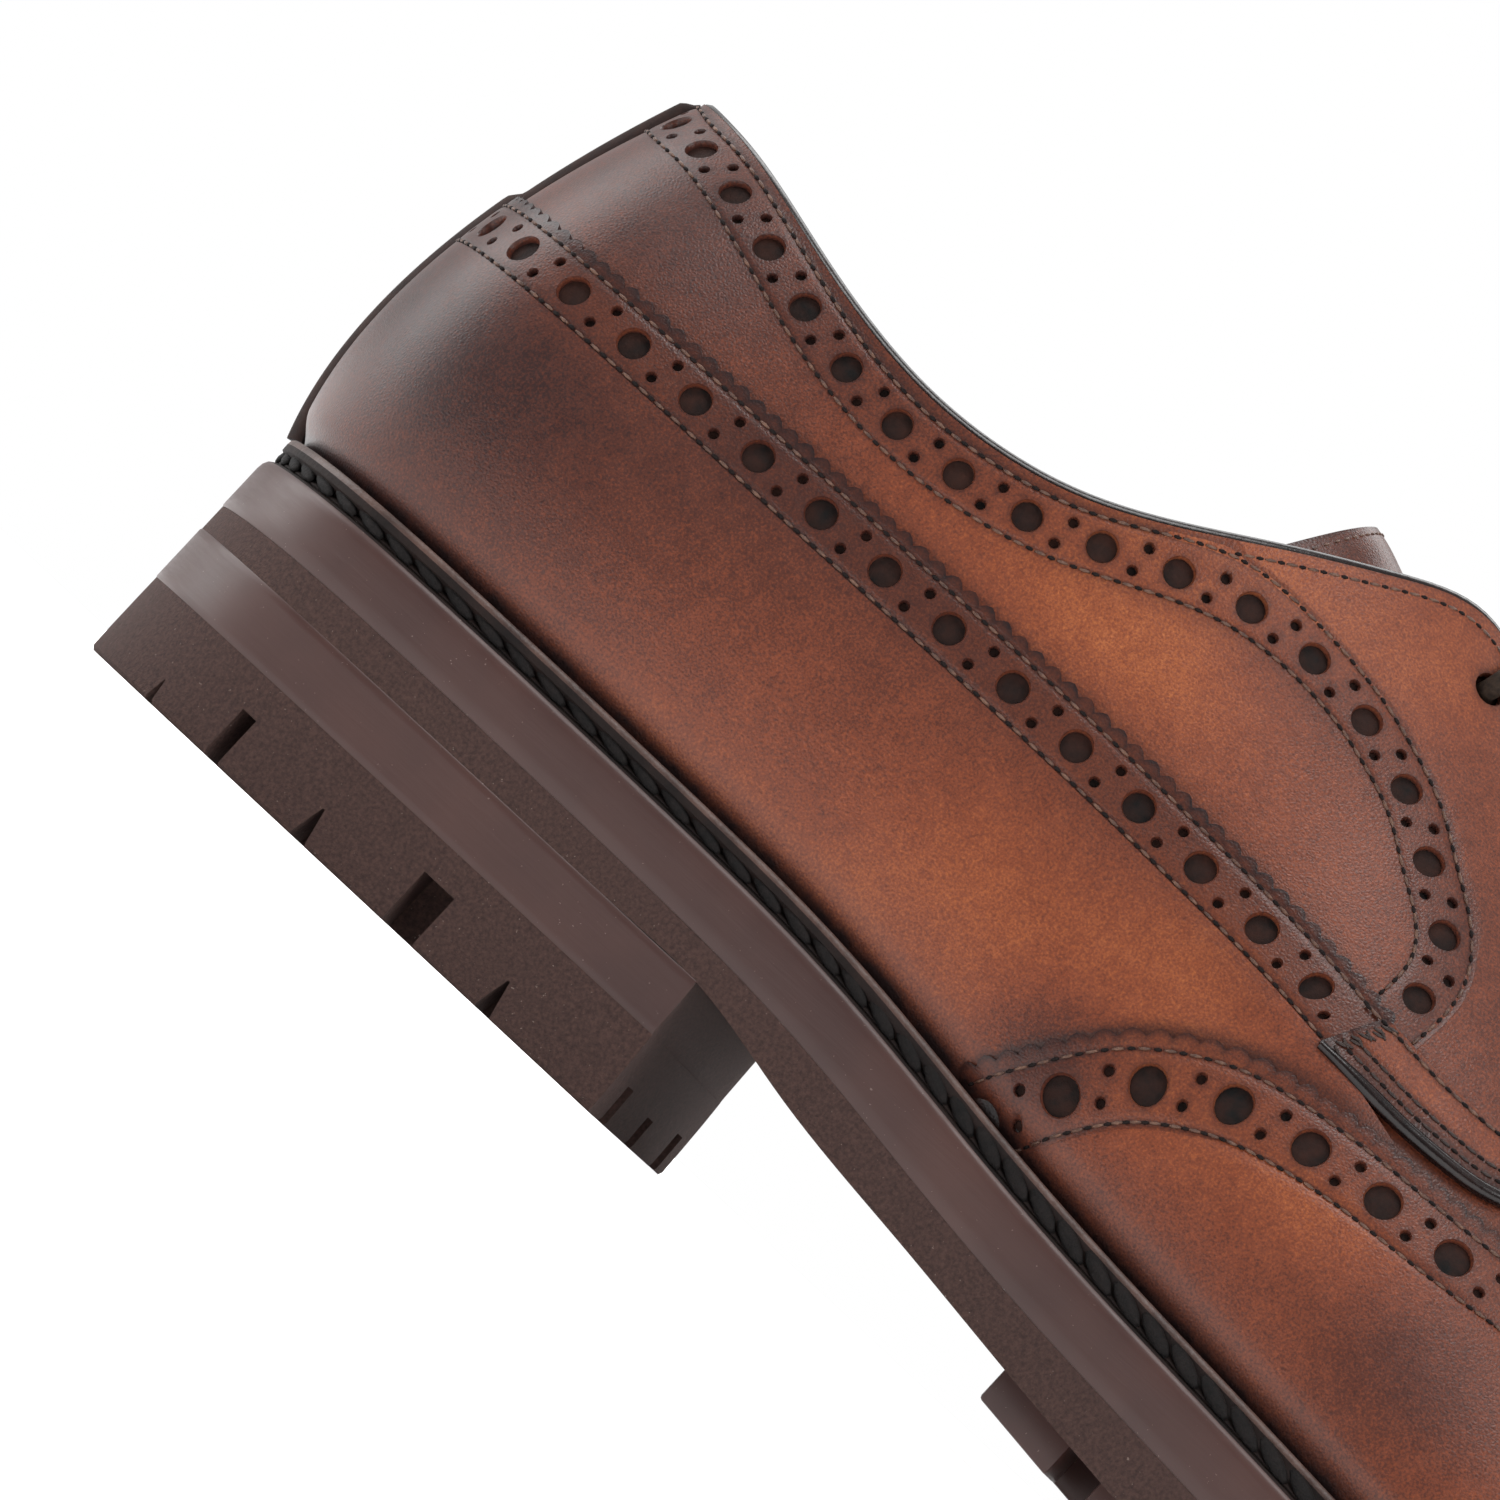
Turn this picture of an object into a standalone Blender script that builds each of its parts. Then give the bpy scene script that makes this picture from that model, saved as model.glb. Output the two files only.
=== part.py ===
"""Brogue derby shoe for a right foot: a hollow upper over a layered lug sole.

The toe points along +X, the outer side of the foot is -Y, and +Z is up.
Tables are in millimetres. Station s runs forward from the back of the sole.
"""
import math

import bmesh
import bpy
import numpy as np
from mathutils import Matrix, Vector

for old in list(bpy.data.objects):
    bpy.data.objects.remove(old, do_unlink=True)

# Main sizes
MM = 0.001
LENGTH = 306.0
AXIS_S = 151.0
TIP_Y = 4.5
GAP = 0.3
WALL = 2.0
PANEL = 1.2
PANEL_LIFT = 0.6
STEPS = 48
THROAT_STEP = 26
MIDSOLE_THICK = 7.6
INSOLE_THICK = 3.5
WELT_RISE = 3.6
HEEL_TOP = 17.8
HEEL_FRONT = 82.0
BREAST_SLANT = 1.2
LIFT_TOP = 10.6
BAND_STEP = 0.5
LUG_START = 136.0
LUG_PITCH = 16.0
LUG_ROWS = 10
LUG_DEPTH = 4.0
BACK_LEAN = 8.6
TOE_PULL = 36.0
EYELETS = 5
EYELET_FIRST = 120.7
EYELET_LAST = 160.0
EYELET_INSET = 9.5
EYELET_R = 1.9
LACE_R = 1.25

# Sole seen from above: distance from the axis to each edge, and the welt's width
PLAN = [
    {"s": 5.0, "lateral": 19.0, "medial": 19.0},
    {"s": 15.0, "lateral": 29.8, "medial": 29.8},
    {"s": 35.0, "lateral": 35.4, "medial": 35.2},
    {"s": 60.0, "lateral": 35.8, "medial": 34.2},
    {"s": 90.0, "lateral": 36.6, "medial": 31.2},
    {"s": 120.0, "lateral": 41.0, "medial": 32.0},
    {"s": 150.0, "lateral": 47.6, "medial": 39.0},
    {"s": 180.0, "lateral": 53.0, "medial": 48.6},
    {"s": 200.0, "lateral": 55.0, "medial": 53.4},
    {"s": 217.0, "lateral": 54.0, "medial": 55.0},
    {"s": 236.0, "lateral": 50.4, "medial": 53.6},
    {"s": 255.0, "lateral": 44.6, "medial": 50.2},
    {"s": 275.0, "lateral": 35.2, "medial": 43.8},
    {"s": 290.0, "lateral": 24.8, "medial": 34.2},
    {"s": 300.0, "lateral": 13.6, "medial": 23.0},
]
MARGIN = [
    {"s": 0.0, "width": 3.4},
    {"s": 40.0, "width": 3.6},
    {"s": 90.0, "width": 3.8},
    {"s": 130.0, "width": 4.6},
    {"s": 180.0, "width": 5.8},
    {"s": 220.0, "width": 6.2},
    {"s": 306.0, "width": 5.8},
]

# Side view of the sole: top of the midsole and underside of the outsole
SIDE = [
    {"s": -3.0, "top": 29.0, "under": 18.3},
    {"s": 10.0, "top": 29.8, "under": 18.3},
    {"s": 35.0, "top": 30.2, "under": 18.3},
    {"s": 60.0, "top": 30.0, "under": 18.3},
    {"s": 72.0, "top": 29.8, "under": 18.35},
    {"s": 83.0, "top": 29.45, "under": 18.1},
    {"s": 97.0, "top": 28.3, "under": 15.4},
    {"s": 118.0, "top": 25.4, "under": 12.5},
    {"s": 138.0, "top": 23.2, "under": 9.9},
    {"s": 158.0, "top": 21.7, "under": 7.6},
    {"s": 175.0, "top": 20.4, "under": 5.6},
    {"s": 192.0, "top": 19.3, "under": 4.2},
    {"s": 207.0, "top": 19.0, "under": 4.1},
    {"s": 232.0, "top": 19.7, "under": 4.9},
    {"s": 252.0, "top": 21.2, "under": 6.5},
    {"s": 272.0, "top": 23.6, "under": 9.2},
    {"s": 290.0, "top": 26.8, "under": 12.8},
    {"s": 309.0, "top": 30.4, "under": 16.6},
]

# Upper edge of the upper: collar, then the throat's edge, then the ridge to the toe
TOP = [
    {"s": 0.0, "half": 0.0, "lateral": 92.2, "medial": 92.2, "centre": 0.0},
    {"s": 12.4, "half": 14.0, "lateral": 90.9, "medial": 91.0, "centre": 0.0},
    {"s": 20.0, "half": 18.2, "lateral": 89.5, "medial": 89.8, "centre": 0.0},
    {"s": 33.0, "half": 23.2, "lateral": 86.4, "medial": 87.2, "centre": 0.0},
    {"s": 45.5, "half": 26.6, "lateral": 83.8, "medial": 85.3, "centre": 0.0},
    {"s": 56.0, "half": 28.4, "lateral": 82.7, "medial": 84.6, "centre": 0.0},
    {"s": 66.5, "half": 28.9, "lateral": 83.4, "medial": 85.4, "centre": 0.0},
    {"s": 76.6, "half": 28.2, "lateral": 86.1, "medial": 88.0, "centre": 0.0},
    {"s": 86.3, "half": 26.0, "lateral": 91.1, "medial": 92.5, "centre": 0.0},
    {"s": 95.8, "half": 22.4, "lateral": 97.3, "medial": 98.2, "centre": 0.2},
    {"s": 105.1, "half": 17.4, "lateral": 103.2, "medial": 103.6, "centre": 0.5},
    {"s": 113.4, "half": 11.8, "lateral": 107.2, "medial": 107.3, "centre": 0.8},
    {"s": 121.0, "half": 8.9, "lateral": 105.8, "medial": 105.8, "centre": 1.0},
    {"s": 132.0, "half": 7.8, "lateral": 100.4, "medial": 100.4, "centre": 1.5},
    {"s": 145.0, "half": 6.9, "lateral": 93.2, "medial": 93.2, "centre": 2.0},
    {"s": 158.0, "half": 5.5, "lateral": 86.0, "medial": 86.0, "centre": 2.6},
    {"s": 167.0, "half": 3.4, "lateral": 81.2, "medial": 81.2, "centre": 3.0},
    {"s": 173.0, "half": 0.0, "lateral": 78.2, "medial": 78.2, "centre": 3.2},
    {"s": 186.0, "half": 0.0, "lateral": 72.4, "medial": 72.4, "centre": 3.7},
    {"s": 200.0, "half": 0.0, "lateral": 67.0, "medial": 67.0, "centre": 4.2},
    {"s": 216.0, "half": 0.0, "lateral": 61.8, "medial": 61.8, "centre": 4.6},
    {"s": 234.0, "half": 0.0, "lateral": 57.4, "medial": 57.4, "centre": 4.8},
    {"s": 255.0, "half": 0.0, "lateral": 54.0, "medial": 54.0, "centre": 4.8},
    {"s": 280.0, "half": 0.0, "lateral": 51.4, "medial": 51.4, "centre": 4.7},
    {"s": 306.0, "half": 0.0, "lateral": 50.2, "medial": 50.2, "centre": 4.6},
]

# Each section's curve: how far it flares out above the welt, and how full it is on top
SECTION = [
    {"s": 0.0, "flare": 8.8, "inner_flare": 8.8, "wall": 17.5, "crown": 1.47, "drop": 19.2},
    {"s": 8.0, "flare": 8.0, "inner_flare": 8.0, "wall": 17.5, "crown": 1.26, "drop": 19.0},
    {"s": 20.0, "flare": 6.8, "inner_flare": 6.8, "wall": 17.5, "crown": 1.0, "drop": 18.5},
    {"s": 40.0, "flare": 5.4, "inner_flare": 5.6, "wall": 18.0, "crown": 0.82, "drop": 18.0},
    {"s": 60.0, "flare": 4.8, "inner_flare": 5.6, "wall": 18.0, "crown": 0.76, "drop": 18.0},
    {"s": 86.0, "flare": 4.6, "inner_flare": 7.4, "wall": 19.0, "crown": 0.72, "drop": 20.0},
    {"s": 105.0, "flare": 5.2, "inner_flare": 9.0, "wall": 20.0, "crown": 0.66, "drop": 21.0},
    {"s": 116.0, "flare": 5.6, "inner_flare": 9.4, "wall": 20.5, "crown": 0.62, "drop": 17.0},
    {"s": 130.0, "flare": 6.0, "inner_flare": 9.0, "wall": 20.5, "crown": 0.59, "drop": 11.0},
    {"s": 150.0, "flare": 5.8, "inner_flare": 7.4, "wall": 20.0, "crown": 0.57, "drop": 6.0},
    {"s": 173.0, "flare": 5.0, "inner_flare": 5.6, "wall": 19.0, "crown": 0.57, "drop": 1.5},
    {"s": 215.0, "flare": 4.2, "inner_flare": 4.4, "wall": 16.0, "crown": 0.60, "drop": 0.0},
    {"s": 250.0, "flare": 3.8, "inner_flare": 3.8, "wall": 14.0, "crown": 0.62, "drop": 0.0},
    {"s": 306.0, "flare": 3.0, "inner_flare": 3.0, "wall": 12.0, "crown": 0.62, "drop": 0.0},
]

# Top edge of the counter panel
FOXING = [
    {"s": 0.0, "height": 69.8},
    {"s": 60.0, "height": 69.8},
    {"s": 100.0, "height": 69.4},
    {"s": 124.0, "height": 67.6},
    {"s": 136.0, "height": 65.6},
]

# Edge of the wing cap: station and share of the way from the welt to the ridge
WING = [
    {"share": 0.00, "s": 109.0},
    {"share": 0.11, "s": 114.0},
    {"share": 0.205, "s": 119.5},
    {"share": 0.276, "s": 126.5},
    {"share": 0.314, "s": 132.0},
    {"share": 0.35, "s": 140.0},
    {"share": 0.384, "s": 150.0},
    {"share": 0.415, "s": 160.0},
    {"share": 0.45, "s": 169.0},
    {"share": 0.51, "s": 182.0},
    {"share": 0.59, "s": 197.0},
    {"share": 0.68, "s": 209.0},
    {"share": 0.78, "s": 214.0},
    {"share": 0.88, "s": 210.0},
    {"share": 0.95, "s": 203.0},
    {"share": 1.00, "s": 197.0},
]

# Eyestay flap: place of the rear and front end of each row, from its lower edge to the throat
FLAP = [
    {"rear": 137.5, "rear_share": 0.42, "front": 160.0, "front_share": 0.487},
    {"rear": 137.5, "rear_share": 0.46, "front": 164.5, "front_share": 0.535},
    {"rear": 138.0, "rear_share": 0.515, "front": 167.0, "front_share": 0.60},
    {"rear": 136.5, "rear_share": 0.577, "front": 168.3, "front_share": 0.67},
    {"rear": 129.0, "rear_share": 0.645, "front": 168.8, "front_share": 0.74},
    {"rear": 119.0, "rear_share": 0.69, "front": 169.0, "front_share": 0.81},
    {"rear": 109.0, "rear_share": 0.745, "front": 169.0, "front_share": 0.87},
    {"rear": 102.0, "rear_share": 0.83, "front": 168.6, "front_share": 0.935},
    {"rear": 99.0, "rear_share": 1.0, "front": 168.0, "front_share": 1.0},
]

# Tongue under the lacing: how far it reaches beneath each flap
TONGUE = [
    {"s": 180.0, "reach": 14.0},
    {"s": 170.0, "reach": 14.0},
    {"s": 160.0, "reach": 12.5},
    {"s": 150.0, "reach": 11.5},
    {"s": 140.0, "reach": 10.5},
    {"s": 130.0, "reach": 9.5},
    {"s": 119.0, "reach": 8.0},
]

# Tongue's tip, bent back into the collar: centre height, half width and sideways bend
TIP = [
    {"s": 108.5, "height": 105.2, "half": 13.6, "bend": 0.040},
    {"s": 99.5, "height": 107.0, "half": 12.6, "bend": 0.036},
    {"s": 93.0, "height": 107.6, "half": 9.0, "bend": 0.036},
]

# Notches round the heel: centre station, length along the edge, height and depth into the block
NOTCH = [
    {"s": 25.4, "length": 2.4, "height": 6.5, "depth": 9.0},
    {"s": 54.2, "length": 4.5, "height": 7.0, "depth": 9.0},
]

# Channels across the heel's underside: where each starts and ends, and its depth
CHANNEL = [
    {"s0": 41.0, "s1": 45.0, "y0": -18.0, "y1": 18.0, "depth": 4.0},
    {"s0": 22.0, "s1": 95.0, "y0": -2.5, "y1": 2.5, "depth": 4.0},
    {"s0": 72.0, "s1": 95.0, "y0": -26.4, "y1": -21.6, "depth": 5.0},
    {"s0": 72.0, "s1": 95.0, "y0": 21.6, "y1": 26.4, "depth": 5.0},
]

# Back strip: share of the way up and how far it lies off the shell, over the counter panel and above it
STRIP_HALF = 0.030
STRIP_THICK = 0.9
STRIP = [
    {"share": 0.10, "lift": 2.3},
    {"share": 0.25, "lift": 2.3},
    {"share": 0.40, "lift": 2.3},
    {"share": 0.55, "lift": 2.3},
    {"share": 0.65, "lift": 2.3},
    {"share": 0.68, "lift": 0.4},
    {"share": 0.80, "lift": 0.4},
    {"share": 0.985, "lift": 0.4},
]


def spline(knots, values):
    """Natural cubic through the rows of a table."""
    x = np.array(knots, dtype=float)
    y = np.array(values, dtype=float)
    n = len(x)
    h = np.diff(x)
    a = np.eye(n)
    b = np.zeros(n)
    for i in range(1, n - 1):
        a[i, i - 1:i + 2] = h[i - 1], 2.0 * (h[i - 1] + h[i]), h[i]
        b[i] = 6.0 * ((y[i + 1] - y[i]) / h[i] - (y[i] - y[i - 1]) / h[i - 1])
    m = np.linalg.solve(a, b)

    def at(q):
        i = int(min(max(np.searchsorted(x, q) - 1, 0), n - 2))
        u = q - x[i]
        w = x[i + 1] - q
        cubic = (m[i] * w ** 3 + m[i + 1] * u ** 3) / (6.0 * h[i])
        line = (y[i] / h[i] - m[i] * h[i] / 6.0) * w + (y[i + 1] / h[i] - m[i + 1] * h[i] / 6.0) * u
        return float(cubic + line)

    return at


def column(table, name, key="s"):
    return spline([row[key] for row in table], [row[name] for row in table])


def angle_of(s):
    return math.acos(max(-1.0, min(1.0, 1.0 - 2.0 * s / LENGTH)))


def station_of(angle):
    return LENGTH * 0.5 * (1.0 - math.cos(angle))


def edge_curve():
    """Sideways place of the sole's edge for an angle round it, wrapped so that both ends are smooth."""
    ring = [(0.0, 0.0)]
    ring += [(angle_of(row["s"]), -row["lateral"]) for row in PLAN]
    ring += [(math.pi, TIP_Y)]
    ring += [(2.0 * math.pi - angle_of(row["s"]), row["medial"]) for row in reversed(PLAN)]
    before = [(a - 2.0 * math.pi, y) for a, y in ring[-4:]]
    after = [(a + 2.0 * math.pi, y) for a, y in ring[:4]]
    rows = before + ring + after
    return spline([a for a, _ in rows], [y for _, y in rows])


THROAT_S = station_of(math.pi * THROAT_STEP / STEPS)
edge_y = edge_curve()
margin_at = column(MARGIN, "width")
sole_top = column(SIDE, "top")
sole_under = column(SIDE, "under")
open_rows = [row for row in TOP if row["s"] <= 173.0]
top_half = spline([angle_of(row["s"]) for row in open_rows], [row["half"] for row in open_rows])
top_outer = column(TOP, "lateral")
top_inner = column(TOP, "medial")
top_centre = column(TOP, "centre")
flare_outer = column(SECTION, "flare")
flare_inner = column(SECTION, "inner_flare")
wall_at = column(SECTION, "wall")
crown_at = column(SECTION, "crown")
drop_at = column(SECTION, "drop")


def wrap(phi):
    return phi % (2.0 * math.pi)


def plan_point(phi):
    phi = wrap(phi)
    return np.array([station_of(phi), edge_y(phi)])


def plan_out(phi):
    """Direction that points out of the sole's edge, seen from above."""
    d = plan_point(phi + 0.004) - plan_point(phi - 0.004)
    n = np.array([d[1], -d[0]])
    return n / np.linalg.norm(n)


def edge_in(phi, inset):
    """Point on the sole's edge, moved in by a distance."""
    return plan_point(phi) - plan_out(phi) * inset


def half_angle(phi):
    phi = wrap(phi)
    return phi if phi <= math.pi else 2.0 * math.pi - phi


def is_outer(phi):
    return wrap(phi) <= math.pi


def top_point(phi):
    s = station_of(half_angle(phi))
    half = top_half(angle_of(s)) if s < THROAT_S - 0.01 else 0.0
    height = top_outer(s) if is_outer(phi) else top_inner(s)
    side = -1.0 if is_outer(phi) else 1.0
    lean = BACK_LEAN * max(0.0, 1.0 - s / 60.0) ** 2
    pull = TOE_PULL * max(0.0, (s - 220.0) / (LENGTH - 220.0)) ** 2
    return np.array([s + lean - pull, top_centre(s) + side * max(half, 0.0), height])


def meridian(phi):
    """Four control points of the upper's curve from the welt to its upper edge."""
    s = station_of(half_angle(phi))
    foot = edge_in(phi, margin_at(s))
    out = plan_out(phi)
    a = np.array([foot[0], foot[1], sole_top(foot[0]) + GAP])
    d = top_point(phi)
    flare = flare_outer(s) if is_outer(phi) else flare_inner(s)
    b = a + np.array([out[0] * flare, out[1] * flare, wall_at(s)])
    reach = crown_at(s) * (a[:2] - d[:2])
    slope = -0.10 * reach[0] if s > 220.0 else 0.0
    c = d + np.array([reach[0], reach[1], slope - max(drop_at(s), 0.0)])
    return a, b, c, d


def curve(points, t):
    a, b, c, d = points
    u = 1.0 - t
    return a * u ** 3 + b * (3.0 * u * u * t) + c * (3.0 * u * t * t) + d * t ** 3


def normal(phi, t):
    t = min(max(t, 0.002), 0.985)
    along = curve(meridian(phi + 0.003), t) - curve(meridian(phi - 0.003), t)
    up = curve(meridian(phi), t + 0.002) - curve(meridian(phi), t - 0.002)
    n = np.cross(along, up)
    return n / np.linalg.norm(n)


def skin(phi, t, lift=0.0):
    """Point of the upper's outer face, moved out by lift."""
    p = curve(meridian(phi), t)
    if lift == 0.0:
        return p
    n = normal(phi, t)
    if t > 0.999 and station_of(half_angle(phi)) >= THROAT_S - 0.01:
        n = n + normal(-phi, t)
        n = n / np.linalg.norm(n)
    return p + n * lift


def share_at(phi, height):
    """Share of the way up the section where it reaches a height."""
    points = meridian(phi)
    low, high = 0.0, 1.0
    for _ in range(30):
        mid = 0.5 * (low + high)
        if curve(points, mid)[2] < height:
            low = mid
        else:
            high = mid
    return 0.5 * (low + high)


def share_below(phi, distance):
    """Share of the way up where the curve is a distance short of its upper edge."""
    points = meridian(phi)
    t = 1.0
    run = 0.0
    while run < distance and t > 0.0:
        run += float(np.linalg.norm(curve(points, t) - curve(points, t - 0.005)))
        t -= 0.005
    return t


def place(p):
    return Vector(((p[0] - AXIS_S) * MM, p[1] * MM, p[2] * MM))


def material(name, colour, roughness):
    mat = bpy.data.materials.new(name)
    mat.use_nodes = True
    shader = mat.node_tree.nodes["Principled BSDF"]
    shader.inputs["Base Color"].default_value = (colour[0], colour[1], colour[2], 1.0)
    shader.inputs["Roughness"].default_value = roughness
    return mat


LEATHER = material("leather", (0.19, 0.075, 0.045), 0.4)
PANEL_LEATHER = material("panel_leather", (0.15, 0.06, 0.04), 0.38)
LINING = material("lining", (0.42, 0.26, 0.15), 0.6)
RUBBER = material("rubber", (0.07, 0.045, 0.04), 0.6)
WELT_RUBBER = material("welt", (0.055, 0.03, 0.026), 0.5)
LACE_CORD = material("lace_cord", (0.03, 0.022, 0.02), 0.6)


def finish(bm, name, mat):
    bmesh.ops.remove_doubles(bm, verts=bm.verts[:], dist=0.000001)
    bmesh.ops.recalc_face_normals(bm, faces=bm.faces[:])
    mesh = bpy.data.meshes.new(name)
    bm.to_mesh(mesh)
    bm.free()
    mesh.materials.append(mat)
    ob = bpy.data.objects.new(name, mesh)
    bpy.context.collection.objects.link(ob)
    return ob


def face(bm, verts):
    """A face from its corners, with repeated corners left out."""
    unique = []
    for v in verts:
        if v not in unique:
            unique.append(v)
    if len(unique) > 2:
        bm.faces.new(unique)


def strip(bm, one, two, closed):
    count = len(one)
    for i in range(count if closed else count - 1):
        j = (i + 1) % count
        face(bm, [one[i], one[j], two[j], two[i]])


def ring_solid(name, loops, mat):
    """Closed ring: each loop is a run of points round the shoe, and the last joins the first."""
    bm = bmesh.new()
    rows = [[bm.verts.new(place(p)) for p in loop] for loop in loops]
    for k in range(len(rows)):
        strip(bm, rows[k], rows[(k + 1) % len(rows)], True)
    return finish(bm, name, mat)


def plate_solid(name, loops, mat):
    """Stacked loops round the sole, closed above and below by strips across it."""
    bm = bmesh.new()
    rows = [[bm.verts.new(place(p)) for p in loop] for loop in loops]
    for k in range(len(rows) - 1):
        strip(bm, rows[k], rows[k + 1], True)
    for row in (rows[0], rows[-1]):
        n = len(row)
        for i in range(n // 2):
            face(bm, [row[i], row[i + 1], row[-i - 1], row[(n - i) % n]])
    return finish(bm, name, mat)


def panel_solid(name, low, high, mat, ridge=False):
    """Closed sheet between two grids of the same shape. With ridge, the last row folds onto itself."""
    bm = bmesh.new()
    sides = []
    for grid in (low, high):
        rows = [[bm.verts.new(place(p)) for p in row] for row in grid]
        if ridge:
            last = rows[-1]
            for i in range(len(last) // 2):
                bm.verts.remove(last[-1 - i])
                last[-1 - i] = last[i]
        sides.append(rows)
    for rows in sides:
        for k in range(len(rows) - 1):
            strip(bm, rows[k], rows[k + 1], False)
    one, two = sides
    strip(bm, one[0], two[0], False)
    if not ridge:
        strip(bm, one[-1], two[-1], False)
    strip(bm, [row[0] for row in one], [row[0] for row in two], False)
    strip(bm, [row[-1] for row in one], [row[-1] for row in two], False)
    return finish(bm, name, mat)


RING = [2.0 * math.pi * k / (2 * STEPS) for k in range(2 * STEPS)]


def level_loop(inset, height):
    """Loop round the sole, inset from its edge, at a height given by station."""
    loop = []
    for phi in RING:
        x, y = edge_in(phi, inset)
        loop.append(np.array([x, y, height(x)]))
    return loop


# Midsole: rounded top edge and a small step above the outsole
def midsole_low(s):
    return sole_top(s) - MIDSOLE_THICK


plate_solid("midsole", [
    level_loop(1.6, lambda s: sole_top(s)),
    level_loop(0.4, lambda s: sole_top(s) - 0.5),
    level_loop(0.0, lambda s: sole_top(s) - 1.6),
    level_loop(0.0, midsole_low),
], RUBBER)


# Outsole: a plate with the forefoot lugs drawn down out of its underside
def outsole():
    bm = bmesh.new()
    stations = [station_of(math.pi * k / STEPS) for k in range(1, STEPS)]
    stations = [s for s in stations if s < LUG_START - 3.0 or s > LUG_START + LUG_PITCH * LUG_ROWS + 2.0]
    cuts = (0.0, 3.0, 8.0, 11.0)
    lug_lines = [LUG_START + LUG_PITCH * i + c for i in range(LUG_ROWS) for c in cuts]
    stations = sorted(stations + lug_lines + [LUG_START + LUG_PITCH * LUG_ROWS])
    across = (0.0, 0.02, 0.19, 0.235, 0.47, 0.53, 0.765, 0.81, 0.98, 1.0)
    upper_rows = []
    lower_rows = []
    for s in stations:
        a = angle_of(s)
        y0 = edge_y(a) + BAND_STEP
        y1 = edge_y(2.0 * math.pi - a) - BAND_STEP
        top = midsole_low(s) - GAP
        low = sole_under(s)
        ends = [bm.verts.new(place((s, y0, top))), bm.verts.new(place((s, y1, top)))]
        upper_rows.append(ends)
        tread = LUG_START - 0.1 < s < LUG_START + LUG_PITCH * LUG_ROWS + 0.1
        shares = across if tread else (0.0, 1.0)
        lower_rows.append([bm.verts.new(place((s, y0 + (y1 - y0) * f, low))) for f in shares])
    lugs = []
    for k in range(len(stations) - 1):
        face(bm, [upper_rows[k][0], upper_rows[k][1], upper_rows[k + 1][1], upper_rows[k + 1][0]])
        one = lower_rows[k]
        two = lower_rows[k + 1]
        face(bm, [upper_rows[k][0], upper_rows[k + 1][0], two[0], one[0]])
        face(bm, [upper_rows[k][1], upper_rows[k + 1][1], two[-1], one[-1]])
        if len(one) != len(two) or len(one) == 2:
            face(bm, one + two[::-1])
            continue
        seg = round((stations[k] - LUG_START) % LUG_PITCH)
        row = int((stations[k] - LUG_START + 0.01) // LUG_PITCH)
        for c in range(len(one) - 1):
            quad = bm.faces.new([one[c], one[c + 1], two[c + 1], two[c]])
            outer_lug = c in (1, 7) and seg in (0, 3, 8)
            inner_lug = c in (3, 5) and seg in (0, 8, 11) and 0 < row + (seg > 3) < LUG_ROWS
            if outer_lug or inner_lug:
                lugs.append(quad)
    for row in (0, -1):
        face(bm, [upper_rows[row][0], upper_rows[row][1]] + lower_rows[row][::-1])
    grown = bmesh.ops.extrude_face_region(bm, geom=lugs)
    for v in [g for g in grown["geom"] if isinstance(g, bmesh.types.BMVert)]:
        v.co.z = max(0.0, v.co.z - LUG_DEPTH * MM) if v.co.z > LUG_DEPTH * MM + 0.0005 else 0.0
    bmesh.ops.delete(bm, geom=lugs, context="FACES_ONLY")
    return finish(bm, "outsole", RUBBER)


outsole()


# Heel: block with a straight front, a step between its two bands, and notches cut round its foot
def heel_loop(inset, front, height):
    loop = []
    end = angle_of(HEEL_FRONT)
    for k in range(-15, 16):
        phi = end * k / 15.0
        x, y = edge_in(phi, inset)
        if abs(k) == 15:
            x = front
        loop.append(np.array([x, y, height]))
    return loop


def box(name, low, high):
    bm = bmesh.new()
    bmesh.ops.create_cube(bm, size=1.0)
    a = place(low)
    b = place(high)
    for v in bm.verts:
        v.co = Vector([a[i] if v.co[i] < 0.0 else b[i] for i in range(3)])
    return finish(bm, name, RUBBER)


def cut(target, cutters):
    for cutter in cutters:
        cutter.hide_render = True
        cutter.display_type = "WIRE"
        mod = target.modifiers.new("cut", "BOOLEAN")
        mod.operation = "DIFFERENCE"
        mod.solver = "EXACT"
        mod.object = cutter
    bpy.context.view_layer.update()
    graph = bpy.context.evaluated_depsgraph_get()
    mesh = bpy.data.meshes.new_from_object(target.evaluated_get(graph))
    target.modifiers.clear()
    target.data = mesh
    for cutter in cutters:
        bpy.data.objects.remove(cutter, do_unlink=True)
    bm = bmesh.new()
    bm.from_mesh(mesh)
    bmesh.ops.dissolve_degenerate(bm, dist=0.00001, edges=bm.edges[:])
    bm.to_mesh(mesh)
    bm.free()


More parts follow.
